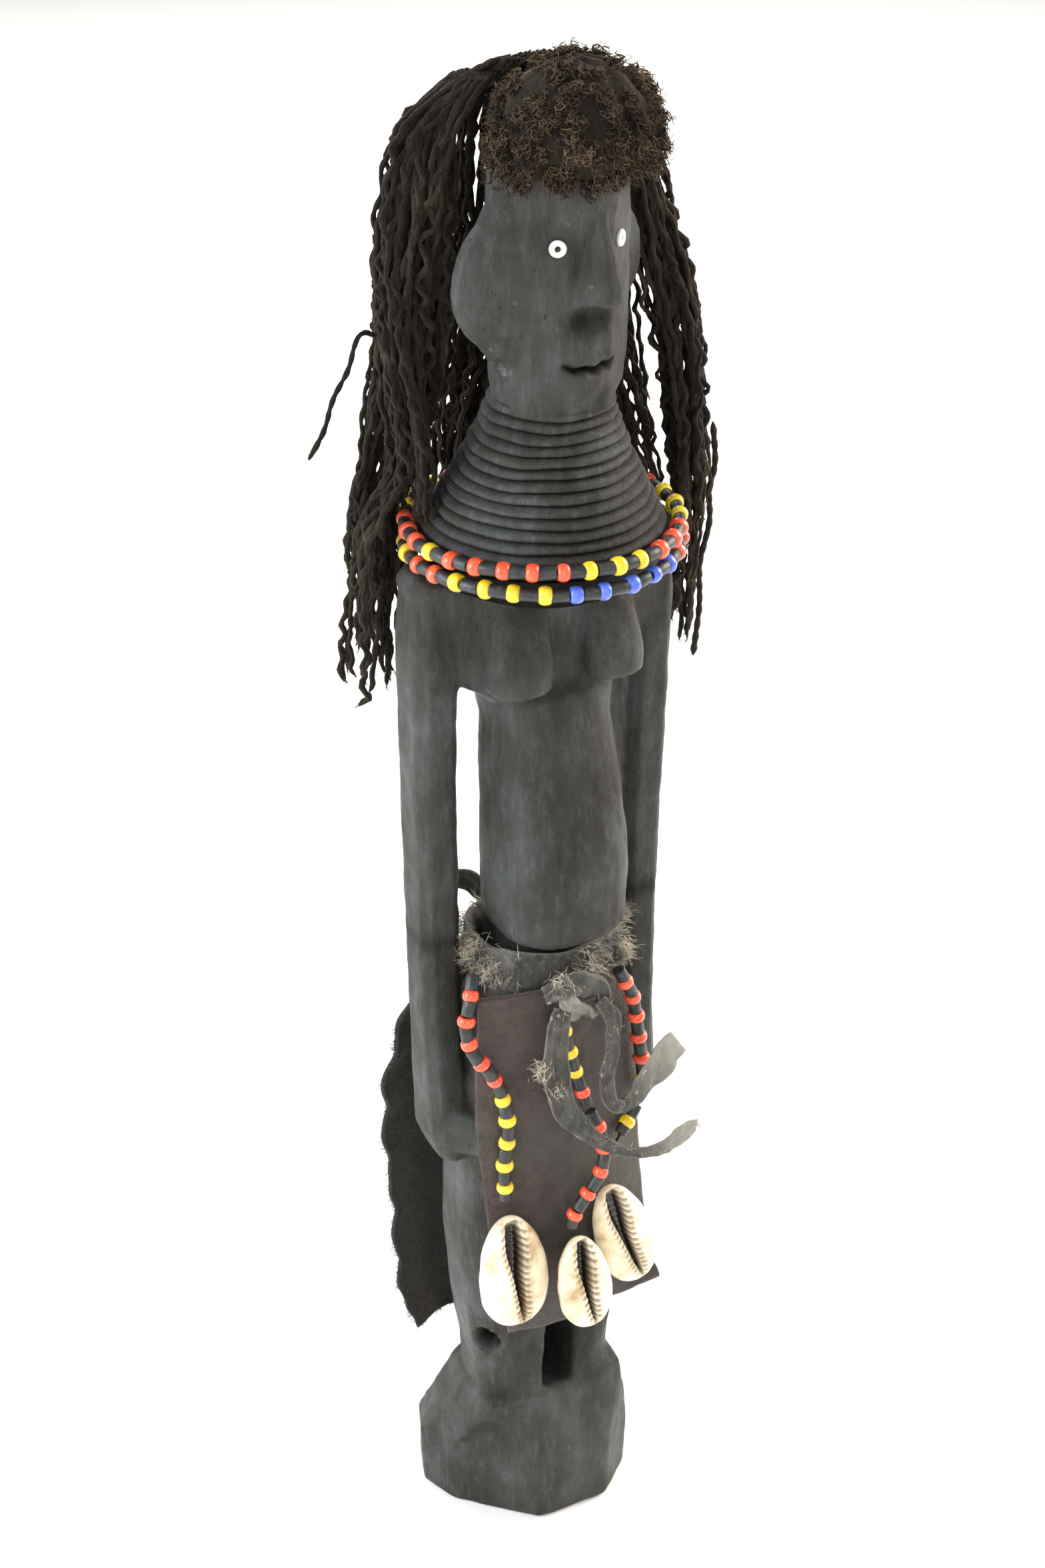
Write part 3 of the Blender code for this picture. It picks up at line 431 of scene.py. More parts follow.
def add_fibre(points, faces, route, width):
    """One loose hair: a thin three-sided spike along a short route in millimetres."""
    start = len(points)
    for i, (place, a, b) in enumerate(frames_along(route)[:-1]):
        size = width * (1 - 0.7 * i / (len(route) - 1))
        for j in range(3):
            t = THIRD_TURN * j
            points.append((place + a * size * math.cos(t) + b * size * math.sin(t)) * MM)
    points.append(route[-1] * MM)
    rings = len(route) - 1
    for i in range(rings - 1):
        for j in range(3):
            k, base = (j + 1) % 3, start + i * 3
            faces.append((base + j, base + k, base + 3 + k, base + 3 + j))
    tip = start + rings * 3
    for j in range(3):
        faces.append((tip - 3 + j, tip - 3 + (j + 1) % 3, tip))
    faces.append((start, start + 1, start + 2))


def jitter(rng, size):
    """A small random step in any direction."""
    return Vector((rng.gauss(0, size), rng.gauss(0, size), rng.gauss(0, size)))


# The carving --------------------------------------------------------------------------

HEAD_TURN = math.radians(12)
HEAD_Y = -11.0
CHIN = 268.0
NECK_FOOT, JAW = 239.2, 266.5
KNIFE_MARKS = (("CLOUDS", 9.0, 0.5), ("VORONOI", 5.0, 0.2), ("CLOUDS", 2.2, 0.1))  # pattern, size, depth


def add_blocks(obj, blocks):
    """Closed blocks, each from its two or more rings of points in millimetres, into a mesh."""
    bm = bmesh.new()
    bm.from_mesh(obj.data)
    for rings in blocks:
        made = [[bm.verts.new(Vector(p) * MM) for p in ring] for ring in rings]
        sides = []
        for lower, upper in zip(made, made[1:]):
            for i in range(len(lower)):
                k = (i + 1) % len(lower)
                sides.append(bm.faces.new((lower[i], lower[k], upper[k], upper[i])))
        sides += [bm.faces.new(made[0]), bm.faces.new(made[-1])]
        bmesh.ops.recalc_face_normals(bm, faces=sides)
    bm.to_mesh(obj.data)
    bm.free()


def carved_part(name, low, high, voxel, blocks, cuts, calm):
    """A length of the carving between two heights, remeshed fine enough to take knife marks."""
    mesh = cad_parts["carved_figure"].data.copy()
    obj = bpy.data.objects.new(name, mesh)
    bpy.context.scene.collection.objects.link(obj)
    active(obj)
    bpy.ops.object.mode_set(mode="EDIT")
    bpy.ops.mesh.select_all(action="SELECT")
    bpy.ops.mesh.remove_doubles(threshold=0.002 * MM)
    for height, way in ((low, 1), (high, -1)):
        if height is not None:
            plane = {"plane_co": (0, 0, height * MM), "plane_no": (0, 0, way)}
            bpy.ops.mesh.select_all(action="SELECT")
            bpy.ops.mesh.bisect(**plane, use_fill=True, clear_inner=True)
    bpy.ops.object.mode_set(mode="OBJECT")
    add_blocks(obj, blocks)
    apply_modifier(obj, "REMESH", mode="VOXEL", voxel_size=voxel * MM, use_smooth_shade=True)
    apply_modifier(obj, "SMOOTH", factor=0.5, iterations=calm)
    # each point's painted shade, as the cuts function gives it
    soot = []
    for vertex in obj.data.vertices:
        push, dark = cuts(vertex.co / MM)
        vertex.co += push * MM
        soot.append(dark)
    mark_points(obj, "soot", soot)
    obj.data.update()
    for kind, size, depth in KNIFE_MARKS:
        pattern = bpy.data.textures.new(f"{name}_{kind}_{size}", kind)
        pattern.noise_scale = size * MM
        settings = {"texture": pattern, "texture_coords": "LOCAL", "strength": depth * MM}
        apply_modifier(obj, "DISPLACE", mid_level=0.5, **settings)
    obj.data.materials.clear()
    obj.data.materials.append(WOOD)
    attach(obj, "figure")
    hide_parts("carved_figure")


def in_head(x, y, z):
    """A place in the turned head's own frame, whose front is -Y, as a place of the doll."""
    turned = Matrix.Rotation(HEAD_TURN, 3, "Z") @ Vector((x, y, 0))
    return Vector((turned.x, turned.y + HEAD_Y, z))


CHEEK_LEVELS = ((267.5, -1.6), (271.0, -0.3), (278.0, 0.1), (290.0, 0.2), (300.0, 0.2), (309.0, -0.1), (313.0, -1.8))


def left_cheek():
    """The plane from the nose to the left corner of the face, at each level's height and growth."""
    rings = []
    for z, grow in CHEEK_LEVELS:
        plan = ((0, -11.6), (2.6, -12.1), (9.9 + grow, -8.0), (11.0 + grow, -4.6), (8, -1), (0, -1))
        rings.append([in_head(x, y - grow * 0.6, z) for x, y in plan])
    return rings


EYE_LEVEL = 297.0
SOCKET_RADIUS = 2.1
SOCKET_DEPTHS = (0.35, 4.5)


def plug(x, y, side):
    """A round block that closes a bored eye socket to just under the cheek."""
    out = (in_head(side * 0.62, -0.785, 0) - in_head(0, 0, 0)).normalized()
    middle = in_head(x, y, EYE_LEVEL)
    across, up = out.cross(Vector((0, 0, 1))).normalized(), Vector((0, 0, 1))
    rings = []
    for deep in SOCKET_DEPTHS:
        spokes = [across * math.cos(t * math.pi / 6) + up * math.sin(t * math.pi / 6) for t in range(12)]
        rings.append([middle - out * deep + spoke * SOCKET_RADIUS for spoke in spokes])
    return rings


MOUTH = 275.5
FOREHEAD = 312
# Each hollow or swelling of the face: x, z, half width, half height, depth (inward below 0) and painted shade.
FACE_CUTS = (
    (-2.2, 283.8, 3.4, 2.3, -1.9, 0.7),
    (1.8, 284.0, 1.6, 1.8, -0.6, 0.25),
    (-3.6, 294.0, 2.0, 4.2, -0.7, 0.3),
    (0.6, 280.4, 2.6, 1.3, 0.55, 0.0),
    (-0.4, 273.2, 3.4, 1.2, 0.45, 0.0),
    (-2.4, 287.4, 3.6, 0.8, 0.5, 0.0),
    (0.0, 305.0, 8.0, 3.5, 0.3, 0.0),
)


def face_cuts(p):
    """What the knife took from the face and left standing, and how much painted shade each place gets."""
    none = Vector((0, 0, 0))
    if p.z < CHIN - 1 or p.z > FOREHEAD:
        return none, 0.0
    own = Matrix.Rotation(-HEAD_TURN, 3, "Z") @ Vector((p.x, p.y - HEAD_Y, 0))
    if own.y > -6.5:
        return none, 0.0
    cut = dark = 0.0
    for x, z, wide, tall, depth, soot in FACE_CUTS:
        share = math.exp(-(((own.x - x) / wide) ** 2) - ((p.z - z) / tall) ** 2)
        cut += depth * share
        dark += soot * share
    line = MOUTH + 0.03 * (own.x + 1.0) ** 2 + 0.2 * math.sin(own.x * 1.9)
    reach = max(0.0, 1 - (abs(own.x + 1.2) / 5.2) ** 4)
    groove = math.exp(-(((p.z - line) / 0.62) ** 2)) * reach
    forward = in_head(0, -1, 0) - in_head(0, 0, 0)
    # the mouth groove and the hollows under and beside the nose are darkened: painted shade
    return forward * (cut - 1.9 * groove), min(1.0, dark + 1.1 * groove)


KNOT = Vector((-15.7, -12.7, 55.8))
KNOT_OUT = Vector((-0.76, -0.65, 0))
KNOT_WIDE, KNOT_TALL, KNOT_DEEP, KNOT_RIM = 2.5, 3.0, 3.2, 0.4
BELLY_FOLD = 158.4


def body_cuts(p):
    """The dead knot in the right shin, and painted shade in its hole, under the belly and between the legs."""
    d = p - KNOT
    across = d.dot(Vector((-KNOT_OUT.y, KNOT_OUT.x, 0)))
    ring = 9.0
    if d.length < 9:
        uneven = 1 + 0.35 * noise.noise(d * 0.9)
        ring = math.sqrt((across / KNOT_WIDE) ** 2 + (d.z / KNOT_TALL) ** 2) * uneven
    hole, rim = math.exp(-(ring**4)), math.exp(-(((ring - 1.5) / 0.4) ** 2))
    # painted shade: in the knot hole, along the fold under the belly, and over the far leg between the legs
    dark = hole + 0.5 * math.exp(-(((p.z - BELLY_FOLD) / 2.2) ** 2))
    dark += 0.65 * math.exp(-(((p.x - 5.6) / 6.6) ** 4) - ((p.z - 68.0) / 27.0) ** 6)
    return KNOT_OUT * (KNOT_RIM * rim - KNOT_DEEP * hole), min(1.0, dark)


carved_part("carved_body", None, NECK_FOOT, 0.7, [], body_cuts, 2)
face_blocks = [left_cheek(), plug(-7.0, -9.05, -1), plug(6.0, -9.75, 1)]
carved_part("carved_head", JAW, None, 0.4, face_blocks, face_cuts, 3)


NECK_LOW, NECK_HIGH = 240.0, 268.0
THROAT, NECK_SPREAD = 10.8, 23.6
RINGS = 14


def ringed_neck():
    """The neck's rings, each a round coil above a knife-cut groove, a little uneven as hand work is."""
    around, per_ring = 120, 8
    tall = NECK_HIGH - NECK_LOW
    rows = [(-6.0, -2.4), (-1.2, -1.8), (-0.5, -0.5)]
    for i in range(RINGS * per_ring + 1):
        phase = (i % per_ring) / per_ring
        uneven = 0.3 * noise.noise(Vector((i // per_ring * 1.7, 4, 2)))
        coil = 1.15 * math.sin(math.pi * phase) ** 0.6 - 0.72 + uneven
        rows.append((tall * (i / (RINGS * per_ring)), coil))
    rows += [(tall + 1.2, -0.6), (tall + 4.0, -2.0)]
    points, soot = [], []
    for rise, swell in rows:
        share = max(0.0, rise / tall)
        radius = THROAT
        if share < 1:
            radius += (NECK_SPREAD - THROAT) * (1 - share) ** 1.25
        centre = Vector((0.8 * (1 - share), -6.0 - 4.4 * min(1.0, share), NECK_LOW + rise))
        for j in range(around):
            angle = 2 * math.pi * j / around
            out = Vector((math.sin(angle), -math.cos(angle), 0))
            wobble = 0.35 * noise.noise(out * 2.2 + Vector((0, 0, rise * 0.5)))
            wobble += 0.12 * noise.noise(out * 9 + Vector((5, 0, rise * 1.7)))
            drop = 0.5 * noise.noise(out * 1.6 + Vector((3, 7, rise * 0.12)))
            points.append((centre + out * (radius + swell + wobble) + Vector((0, 0, drop))) * MM)
            # painted shade in the grooves between the rings
            soot.append(0.9 * max(0.0, min(1.0, -swell / 0.42)))
    faces = ring_faces(0, len(rows), around)
    obj = new_piece("carved_neck", points, faces, WOOD, "figure")
    mark_points(obj, "soot", soot)
    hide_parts("carved_figure")


ringed_neck()


EYE_SEATS = (("right", (-7.0, -9.15, EYE_LEVEL), (-0.6, -0.8)), ("left", (5.0, -11.1, EYE_LEVEL), (0.5, -0.87)))


def eye_bead():
    bpy.ops.mesh.primitive_torus_add(
        major_radius=0.98 * MM, minor_radius=0.52 * MM, major_segments=32, minor_segments=14
    )
    return 0.15, BEADS["white"], "glass_white"


def eye_pin():
    bpy.ops.mesh.primitive_uv_sphere_add(radius=0.6 * MM, segments=16, ring_count=10)
    return -0.1, STEEL, "steel_pin"


def eyes():
    """A white ring bead let into each cheek, and the pin head in its hole."""
    for word, spot, way in EYE_SEATS:
        middle = in_head(*spot)
        out = (in_head(*way, 0) - in_head(0, 0, 0)).normalized()
        lie = out.to_track_quat("Z", "Y").to_matrix().to_4x4()
        for part, make in (("bead", eye_bead), ("pin", eye_pin)):
            stand, finish, slot = make()
            obj = bpy.context.object
            obj.name = f"eye_{part}_{word}_seen"
            obj.data.transform(Matrix.Translation((middle + out * stand) * MM) @ lie)
            obj.location = (0, 0, 0)
            obj.data.shade_smooth()
            obj.data.materials.append(finish)
            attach(obj, "figure")
            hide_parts(f"eye_{part}_{word}")


eyes()


# Hair ---------------------------------------------------------------------------------

RIGHT_LOCKS = [
    (321.5, -9.0, 0.6, 3.4, 2.6), (317.0, -13.6, 2.6, 3.0, 3.4), (312.0, -16.8, 1.6, 3.4, 4.8),
    (301.0, -18.2, 0.6, 4.4, 5.8), (290.0, -19.2, 2.4, 5.2, 6.4), (278.0, -17.8, 7.2, 6.6, 6.6),
    (264.0, -17.2, 12.6, 7.0, 5.4), (250.0, -18.6, 16.2, 6.2, 3.6), (243.0, -20.8, 17.2, 5.4, 2.9),
    (236.0, -21.6, 17.2, 5.2, 3.2), (228.0, -21.8, 17.4, 5.6, 3.6), (214.0, -22.6, 18.0, 5.8, 3.8),
    (201.0, -23.2, 18.2, 5.8, 3.8),
]  # fmt: skip
LEFT_LOCKS = [
    (321.5, 12.0, 0.4, 3.4, 2.6), (317.0, 16.6, 2.0, 2.8, 3.2), (312.0, 19.4, 1.4, 3.4, 4.4),
    (301.0, 22.6, 0.0, 4.4, 5.0), (290.0, 26.0, -1.2, 4.8, 5.4), (275.0, 30.2, -2.2, 4.8, 5.8),
    (260.0, 32.6, -2.4, 4.4, 5.8), (246.0, 34.2, -2.0, 3.8, 5.4), (234.0, 34.8, -1.0, 3.4, 5.2),
    (214.0, 34.4, 0.0, 3.2, 4.6), (203.0, 34.0, 0.5, 3.0, 4.0),
]  # fmt: skip
FRONT_LOCKS = [
    (321.5, -8.6, -0.6, 3.4, 2.4), (317.0, -15.0, 1.0, 3.2, 3.0), (312.0, -19.6, 2.0, 3.4, 3.2),
    (301.0, -22.8, 2.4, 3.0, 3.4), (290.0, -24.4, 3.0, 3.0, 3.6), (278.0, -23.6, 3.6, 3.4, 4.0),
    (264.0, -21.6, 3.4, 3.6, 5.0), (254.0, -20.8, 2.4, 2.6, 5.6), (244.0, -21.6, 1.6, 1.4, 5.0),
    (236.0, -22.0, 1.6, 1.0, 4.0),
]  # fmt: skip
TEMPLE_LOCKS = [
    (321.5, -9.4, -2.0, 2.4, 2.2), (315.0, -14.8, -2.4, 1.6, 2.2), (308.0, -17.0, -1.8, 1.2, 2.4),
    (301.0, -18.8, -0.6, 1.3, 2.8), (288.0, -21.6, 3.0, 2.2, 3.2), (274.0, -20.8, 4.0, 2.4, 3.6),
    (258.0, -19.6, 5.0, 2.4, 4.0), (248.0, -19.8, 6.0, 2.0, 4.0),
]  # fmt: skip
OVER_LOCKS = [
    (321.5, -9.6, 1.6, 2.4, 2.4), (312.0, -18.6, 4.0, 2.6, 3.2), (301.0, -21.6, 4.4, 2.6, 3.4),
    (290.0, -23.0, 4.6, 2.8, 3.6), (278.0, -22.6, 5.6, 3.0, 3.6), (264.0, -21.4, 6.4, 3.0, 4.0),
    (253.0, -22.6, 4.0, 1.6, 4.0), (246.6, -26.2, 4.6, 1.0, 4.0), (241.0, -28.8, 5.6, 0.9, 4.0),
    (228.0, -30.0, 7.4, 1.2, 4.0), (214.0, -30.4, 8.8, 2.0, 4.0), (200.0, -31.0, 9.4, 2.2, 4.0),
]  # fmt: skip
INNER_LOCKS = [
    (321.5, 12.0, 1.4, 2.8, 2.4), (312.0, 18.4, 4.0, 2.8, 3.0), (301.0, 20.6, 5.4, 3.6, 3.6),
    (290.0, 21.6, 6.4, 4.8, 3.8), (275.0, 21.4, 7.4, 6.0, 4.0), (262.0, 23.4, 7.4, 5.6, 4.0),
    (250.0, 27.2, 7.0, 3.8, 4.0), (236.0, 30.6, 6.6, 1.8, 4.0), (214.0, 31.6, 6.6, 1.8, 4.0),
    (202.0, 31.6, 6.6, 1.8, 4.0),
]  # fmt: skip
BACK_LOCKS = [
    (324.0, 1.4, -2.6, 8.0, 2.2), (320.5, 1.4, 1.6, 10.0, 2.6), (316.0, 1.5, 3.6, 12.4, 3.6),
    (306.0, 2.4, 6.0, 14.2, 4.4), (290.0, 4.0, 9.4, 15.0, 3.8), (270.0, 5.4, 16.2, 13.8, 4.0),
    (250.0, 6.0, 25.6, 13.0, 3.4), (240.0, 6.0, 26.8, 13.0, 2.8), (224.0, 5.4, 25.8, 13.4, 3.2),
    (209.0, 4.6, 24.6, 12.4, 2.8), (201.0, 4.6, 24.0, 12.4, 2.8),
]  # fmt: skip


def lock_route(levels, angle, reach, drift, low, rng):
    """One cord's way down through a curtain: it drifts across it, and the yarn is crinkled."""
    keys = []
    phase_a, phase_b = rng.uniform(0, ANY_TURN), rng.uniform(0, ANY_TURN)
    for i, (z, x, y, wide, deep) in enumerate(levels):
        turn_here = angle + drift * i
        share = min(1.0, reach + 0.08 * math.sin(phase_a + i))
        keys.append(Vector((x + wide * share * math.cos(turn_here), y + deep * share * math.sin(turn_here), z)))
    route = evenly(smooth_route(keys, 5), 0.9)
    out, walked = [], 0.0
    crimp = rng.uniform(0.3, 0.7) if rng.random() < 0.8 else rng.uniform(0.7, 0.95)
    sway = rng.uniform(0.6, 1.5)
    pitch, other = rng.uniform(4.6, 8.5), rng.uniform(5.0, 9.5)
    seed = rng.uniform(0, 500)
    for i, place in enumerate(route):
        if place.z < low:
            break
        walked += 0.9
        calm = min(1.0, i / 12)
        uneven = 0.6 + 0.8 * noise.noise(Vector((seed, walked * 0.07, 1)))
        bend = walked + 2.2 * noise.noise(Vector((seed, walked * 0.09, 5)))
        turned = WHOLE_TURN * bend / pitch
        side, back = math.sin(phase_a + turned), math.cos(phase_b + WHOLE_TURN * bend / other)
        wave = Vector((side, back, 0.25 * math.sin(phase_b + turned)))
        far = walked * 0.035
        drift_by = Vector((noise.noise(Vector((seed, far, 9))), noise.noise(Vector((seed, far, 19))), 0))
        out.append(place + (wave * crimp * uneven + drift_by * sway * 2.0) * calm)
    return out


def curtain(name, levels, count, body, node, lows, seed):
    """A mass of single cords with loose fibres, most of them ending well above the longest."""
    rng = random.Random(seed)
    points, faces, hairs, hair_faces = [], [], [], []
    for n in range(count):
        angle = 2 * math.pi * (n * 0.618 % 1.0)
        reach = math.sqrt((n + 0.5) / count)
        low = rng.uniform(lows[1], lows[1] + 14) if n % 5 < 3 else rng.uniform(*lows)
        route = lock_route(levels, angle, reach, rng.uniform(-0.13, 0.13), low, rng)
        radius = rng.uniform(0.42, 0.68)
        add_yarn(points, faces, route, radius, rng, twist=rng.uniform(0.8, 1.05), loose=0.35)
        for place in route[3::4]:
            spur = [place]
            heading = jitter(rng, 1.0).normalized()
            for _ in range(3):
                heading = (heading + jitter(rng, 0.5) + Vector((0, 0, -0.25))).normalized()
                spur.append(spur[-1] + heading * rng.uniform(0.4, 0.8))
            add_fibre(hairs, hair_faces, spur, 0.05)
        for _ in range(7):
            spur = [route[-1]]
            heading = (route[-1] - route[-3]).normalized()
            for _ in range(3):
                heading = (heading + jitter(rng, 0.35)).normalized()
                spur.append(spur[-1] + heading * rng.uniform(0.5, 0.9))
            add_fibre(hairs, hair_faces, spur, 0.07)
    obj = new_piece(name, points, faces, WOOL, body)
    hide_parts(node)
    new_piece(name + "_fuzz", hairs, hair_faces, FUZZ, body, smooth=False)


curtain("hair_cords_right", RIGHT_LOCKS, 66, "right_locks", "hair_lock_right", (202.0, 230.0), 3)
curtain("hair_cords_left", LEFT_LOCKS, 44, "left_locks", "hair_lock_left", (203.0, 232.0), 7)
curtain("hair_cords_front", FRONT_LOCKS, 34, "right_locks", "hair_lock_right", (243.4, 248.0), 5)
curtain("hair_cords_temple", TEMPLE_LOCKS, 14, "right_locks", "hair_lock_right", (250.0, 258.0), 8)
curtain("hair_cords_over", OVER_LOCKS, 15, "right_locks", "hair_lock_right", (202.0, 226.0), 6)
curtain("hair_cords_inner", INNER_LOCKS, 26, "left_locks", "hair_lock_left", (206.0, 246.0), 9)
curtain("hair_cords_back", BACK_LOCKS, 84, "back_locks", "hair_back", (204.0, 224.0), 11)


def stray_cord(name, keys, radius, body, seed):
    """A single yarn that stands clear, in place of the model's own cord."""
    rng = random.Random(seed)
    route = evenly(smooth_route(keys, 5), 0.8)
    points, faces = [], []
    add_yarn(points, faces, route, radius, rng, twist=0.9, loose=0.2)
    obj = new_piece(name + "_seen", points, faces, WOOL, body)
    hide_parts(name)


TEMPLE = [
    (-20.6, 0.4, 311.3), (-23.8, 0.2, 307.6), (-24.6, 0.0, 303.6), (-27.0, -0.4, 299.4),
    (-26.0, -0.8, 295.0), (-26.7, -1.0, 290.0), (-26.0, -1.2, 285.4), (-26.2, -0.8, 280.4),
]  # fmt: skip
JAW = [
    (-20.6, 8.0, 272.4), (-23.4, 7.8, 274.6), (-27.0, 7.0, 277.5), (-29.2, 6.6, 276.6),
    (-31.2, 6.2, 271.6), (-34.4, 5.8, 267.0), (-36.6, 5.4, 261.6), (-39.9, 5.0, 257.0),
]  # fmt: skip
SHOULDER = [
    (39.2, -2.0, 252.0), (39.8, -2.4, 244.0), (39.0, -2.0, 238.0), (40.0, -1.0, 231.0),
    (38.8, 0.0, 222.0), (39.4, 0.4, 213.0), (38.6, 0.8, 202.0),
]  # fmt: skip
stray_cord("stray_cord_temple", TEMPLE, 0.55, "right_locks", 21)
stray_cord("stray_cord_jaw", JAW, 0.55, "right_locks", 22)
stray_cord("stray_cord_shoulder", SHOULDER, 0.7, "left_locks", 23)


FLEECE_LEVELS = (
    (306.8, 0.80), (308.2, 0.94), (311.0, 1.0), (315.0, 1.0),
    (319.4, 0.88), (323.0, 0.66), (325.2, 0.36), (325.8, 0.06),
)  # fmt: skip
CROWN_X, CROWN_Y = 1.8, -14.2


def fleece_cap():
    """The matted fleece on the crown: a lumpy pad, covered all over in small curls."""
    rng = random.Random(31)
    rows, around = 22, 60
    levels = FLEECE_LEVELS
    points, skin, shares = [], [], []
    for i in range(rows):
        t = i / (rows - 1) * (len(levels) - 1)
        k = min(int(t), len(levels) - 2)
        z = levels[k][0] + (levels[k + 1][0] - levels[k][0]) * (t - k)
        size = levels[k][1] + (levels[k + 1][1] - levels[k][1]) * (t - k)
        for j in range(around):
            angle = 2 * math.pi * j / around
            out = Vector((math.cos(angle), math.sin(angle), 0))
            lump = 1 + 0.15 * noise.noise(Vector((out.x * 2.4, out.y * 2.4, z * 0.16)))
            place = Vector((CROWN_X + 14.0 * size * lump * out.x, CROWN_Y + 12.2 * size * lump * out.y, 0))
            slope = (place.y - CROWN_Y) * 0.17 * (1 - i / rows)
            place.z = z - slope + 1.2 * noise.noise(out * 3 + Vector((9, 9, 0)))
            points.append(place * MM)
            skin.append((place, out))
            shares.append(size * (levels[k + 1][0] - levels[k][0]))
    obj = new_piece("fleece_pad", points, ring_faces(0, rows, around), FLEECE, "figure")
    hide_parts("hair_cap")
    clumps = []
    for _ in range(230):
        place, out = rng.choices(skin, shares)[0]
        up = (place.z - 306) / 22
        heading = (out * (1.15 - up) + Vector((0, 0, 0.05 + up)) + jitter(rng, 0.32)).normalized()
        clumps.append((place, heading, rng.uniform(0.6, 1.3), out))
    # the second layer of curls takes the lighter fleece: painted highlight
    for tag, count, finish, width, long in (("deep", 18, FLEECE, 0.22, 0.30), ("tips", 14, FLEECE_LIT, 0.12, 0.40)):
        curls, curl_faces = [], []
        for place, lean, size, out in clumps:
            for _ in range(count):
                heading = (lean + jitter(rng, 0.3)).normalized()
                side = heading.orthogonal().normalized()
                other = heading.cross(side)
                spot = place + jitter(rng, 0.6) - out * 0.4
                phase, radius = rng.uniform(0, ANY_TURN), rng.uniform(0.3, 0.8)
                step = long * size * rng.uniform(0.7, 1.2)
                turn_by = rng.uniform(0.9, 1.7)
                route = []
                for s in range(8):
                    bend = phase + s * turn_by
                    turned = spot + heading * s * step + side * radius * math.cos(bend)
                    route.append(turned + other * radius * math.sin(bend) + Vector((0, 0, -0.025 * s * s)))
                add_fibre(curls, curl_faces, route, width)
        new_piece(f"fleece_curls_{tag}", curls, curl_faces, finish, "figure", smooth=False)


fleece_cap()


# Beads --------------------------------------------------------------------------------


BEAD_RADIUS, BEAD_HOLE = 1.72, 0.45
NECK_BEAD, STRING_BEAD = 2.3, 2.15  # lengths
TUBE_OVERLAP = 0.3


def bead_shape(length):
    """One pressed seed bead about its own hole, which lies along Z."""
    ring, tube = (BEAD_RADIUS + BEAD_HOLE) / 2, (BEAD_RADIUS - BEAD_HOLE) / 2
    size = {"major_radius": ring * MM, "minor_radius": tube * MM}
    bpy.ops.mesh.primitive_torus_add(major_segments=20, minor_segments=10, **size)
    obj = bpy.context.object
    obj.data.transform(Matrix.Diagonal((1, 1, length / 2 / tube, 1)))
    return obj


def tube_shape(radius, length):
    """One cut length of tube about Z, with softened rims."""
    bpy.ops.mesh.primitive_cylinder_add(vertices=18, radius=radius * MM, depth=length * MM)
    obj = bpy.context.object
    apply_modifier(obj, "BEVEL", width=0.18 * MM, segments=2)
    return obj


def lay_out(name, shape, places, body, rng, uneven):
    """Copies of one shape at each (place, direction, finish), as one piece. The shape itself goes."""
    points, faces, marks, finishes = [], [], [], []
    base = [v.co.copy() for v in shape.data.vertices]
    sides = [tuple(p.vertices) for p in shape.data.polygons]
    for place, direction, finish in places:
        if finish not in finishes:
            finishes.append(finish)
        lie = direction.to_track_quat("Z", "Y").to_matrix() @ Matrix.Rotation(rng.uniform(0, ANY_TURN), 3, "Z")
        lie = lie @ Matrix.Diagonal([1 + rng.uniform(-uneven, uneven) for _ in range(3)])
        start = len(points)
        points += [lie @ v + place * MM for v in base]
        faces += [tuple(start + i for i in side) for side in sides]
        marks += [finishes.index(finish)] * len(sides)
    obj = new_piece(name, points, faces, finishes, body)
    for face, mark in zip(obj.data.polygons, marks):
        face.material_index = mark
    bpy.data.objects.remove(shape)
    return obj


NECK = Vector((0.8, -6.0, 0))
UPPER_COLOURS = "yoooooyyyoooyyyoooyyyoooyyyooo"
LOWER_COLOURS = "ooyyyybbbbboooyyyyooobbbbooyy"
LETTERS = {"o": "orange", "y": "yellow", "b": "blue"}


def necklace(name, height, radius, colours, start, seed):
    """Glass beads with a cut tube between each pair, on one thread round the foot of the neck."""
    rng = random.Random(seed)
    beads, tubes = [], []
    count = len(colours)
    for i, letter in enumerate(colours):
        for part in (0.0, 0.5):
            angle = math.radians(start) + 2 * math.pi * (i + part) / count + rng.uniform(-0.012, 0.012)
            lift = 0.25 * math.sin(3 * angle + seed)
            place = NECK + Vector((radius * math.sin(angle), -radius * math.cos(angle), height + lift))
            along = (Vector((math.cos(angle), math.sin(angle), 0)) + jitter(rng, 0.05)).normalized()
            if part:
                tubes.append((place, along, RUBBER))
            else:
                beads.append((place, along, BEADS[LETTERS[letter]]))
    shape = bead_shape(NECK_BEAD)
    glass = lay_out(name + "_beads", shape, beads, name, rng, 0.08)
    gap = 2 * math.pi * radius / count - NECK_BEAD
    shape = tube_shape(1.22, gap + TUBE_OVERLAP)
    lay_out(name + "_tubes", shape, tubes, name, rng, 0.04)
    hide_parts(name)


necklace("upper_necklace", 242.2, 24.9, UPPER_COLOURS, -80.6, 41)
necklace("lower_necklace", 238.2, 25.1, LOWER_COLOURS, -89.6, 42)

APRON_TOP, APRON_X = 147.0, -3.8
PITCH = 5.1


def apron_front(z):
    return -23.2 - 8.0 * (APRON_TOP - z) / 78.0


def on_apron(x, z, off=0.0):
    return (x + APRON_X, apron_front(z) + 0.012 * x * x - 0.55 - 0.3 - 1.65 - off, z)


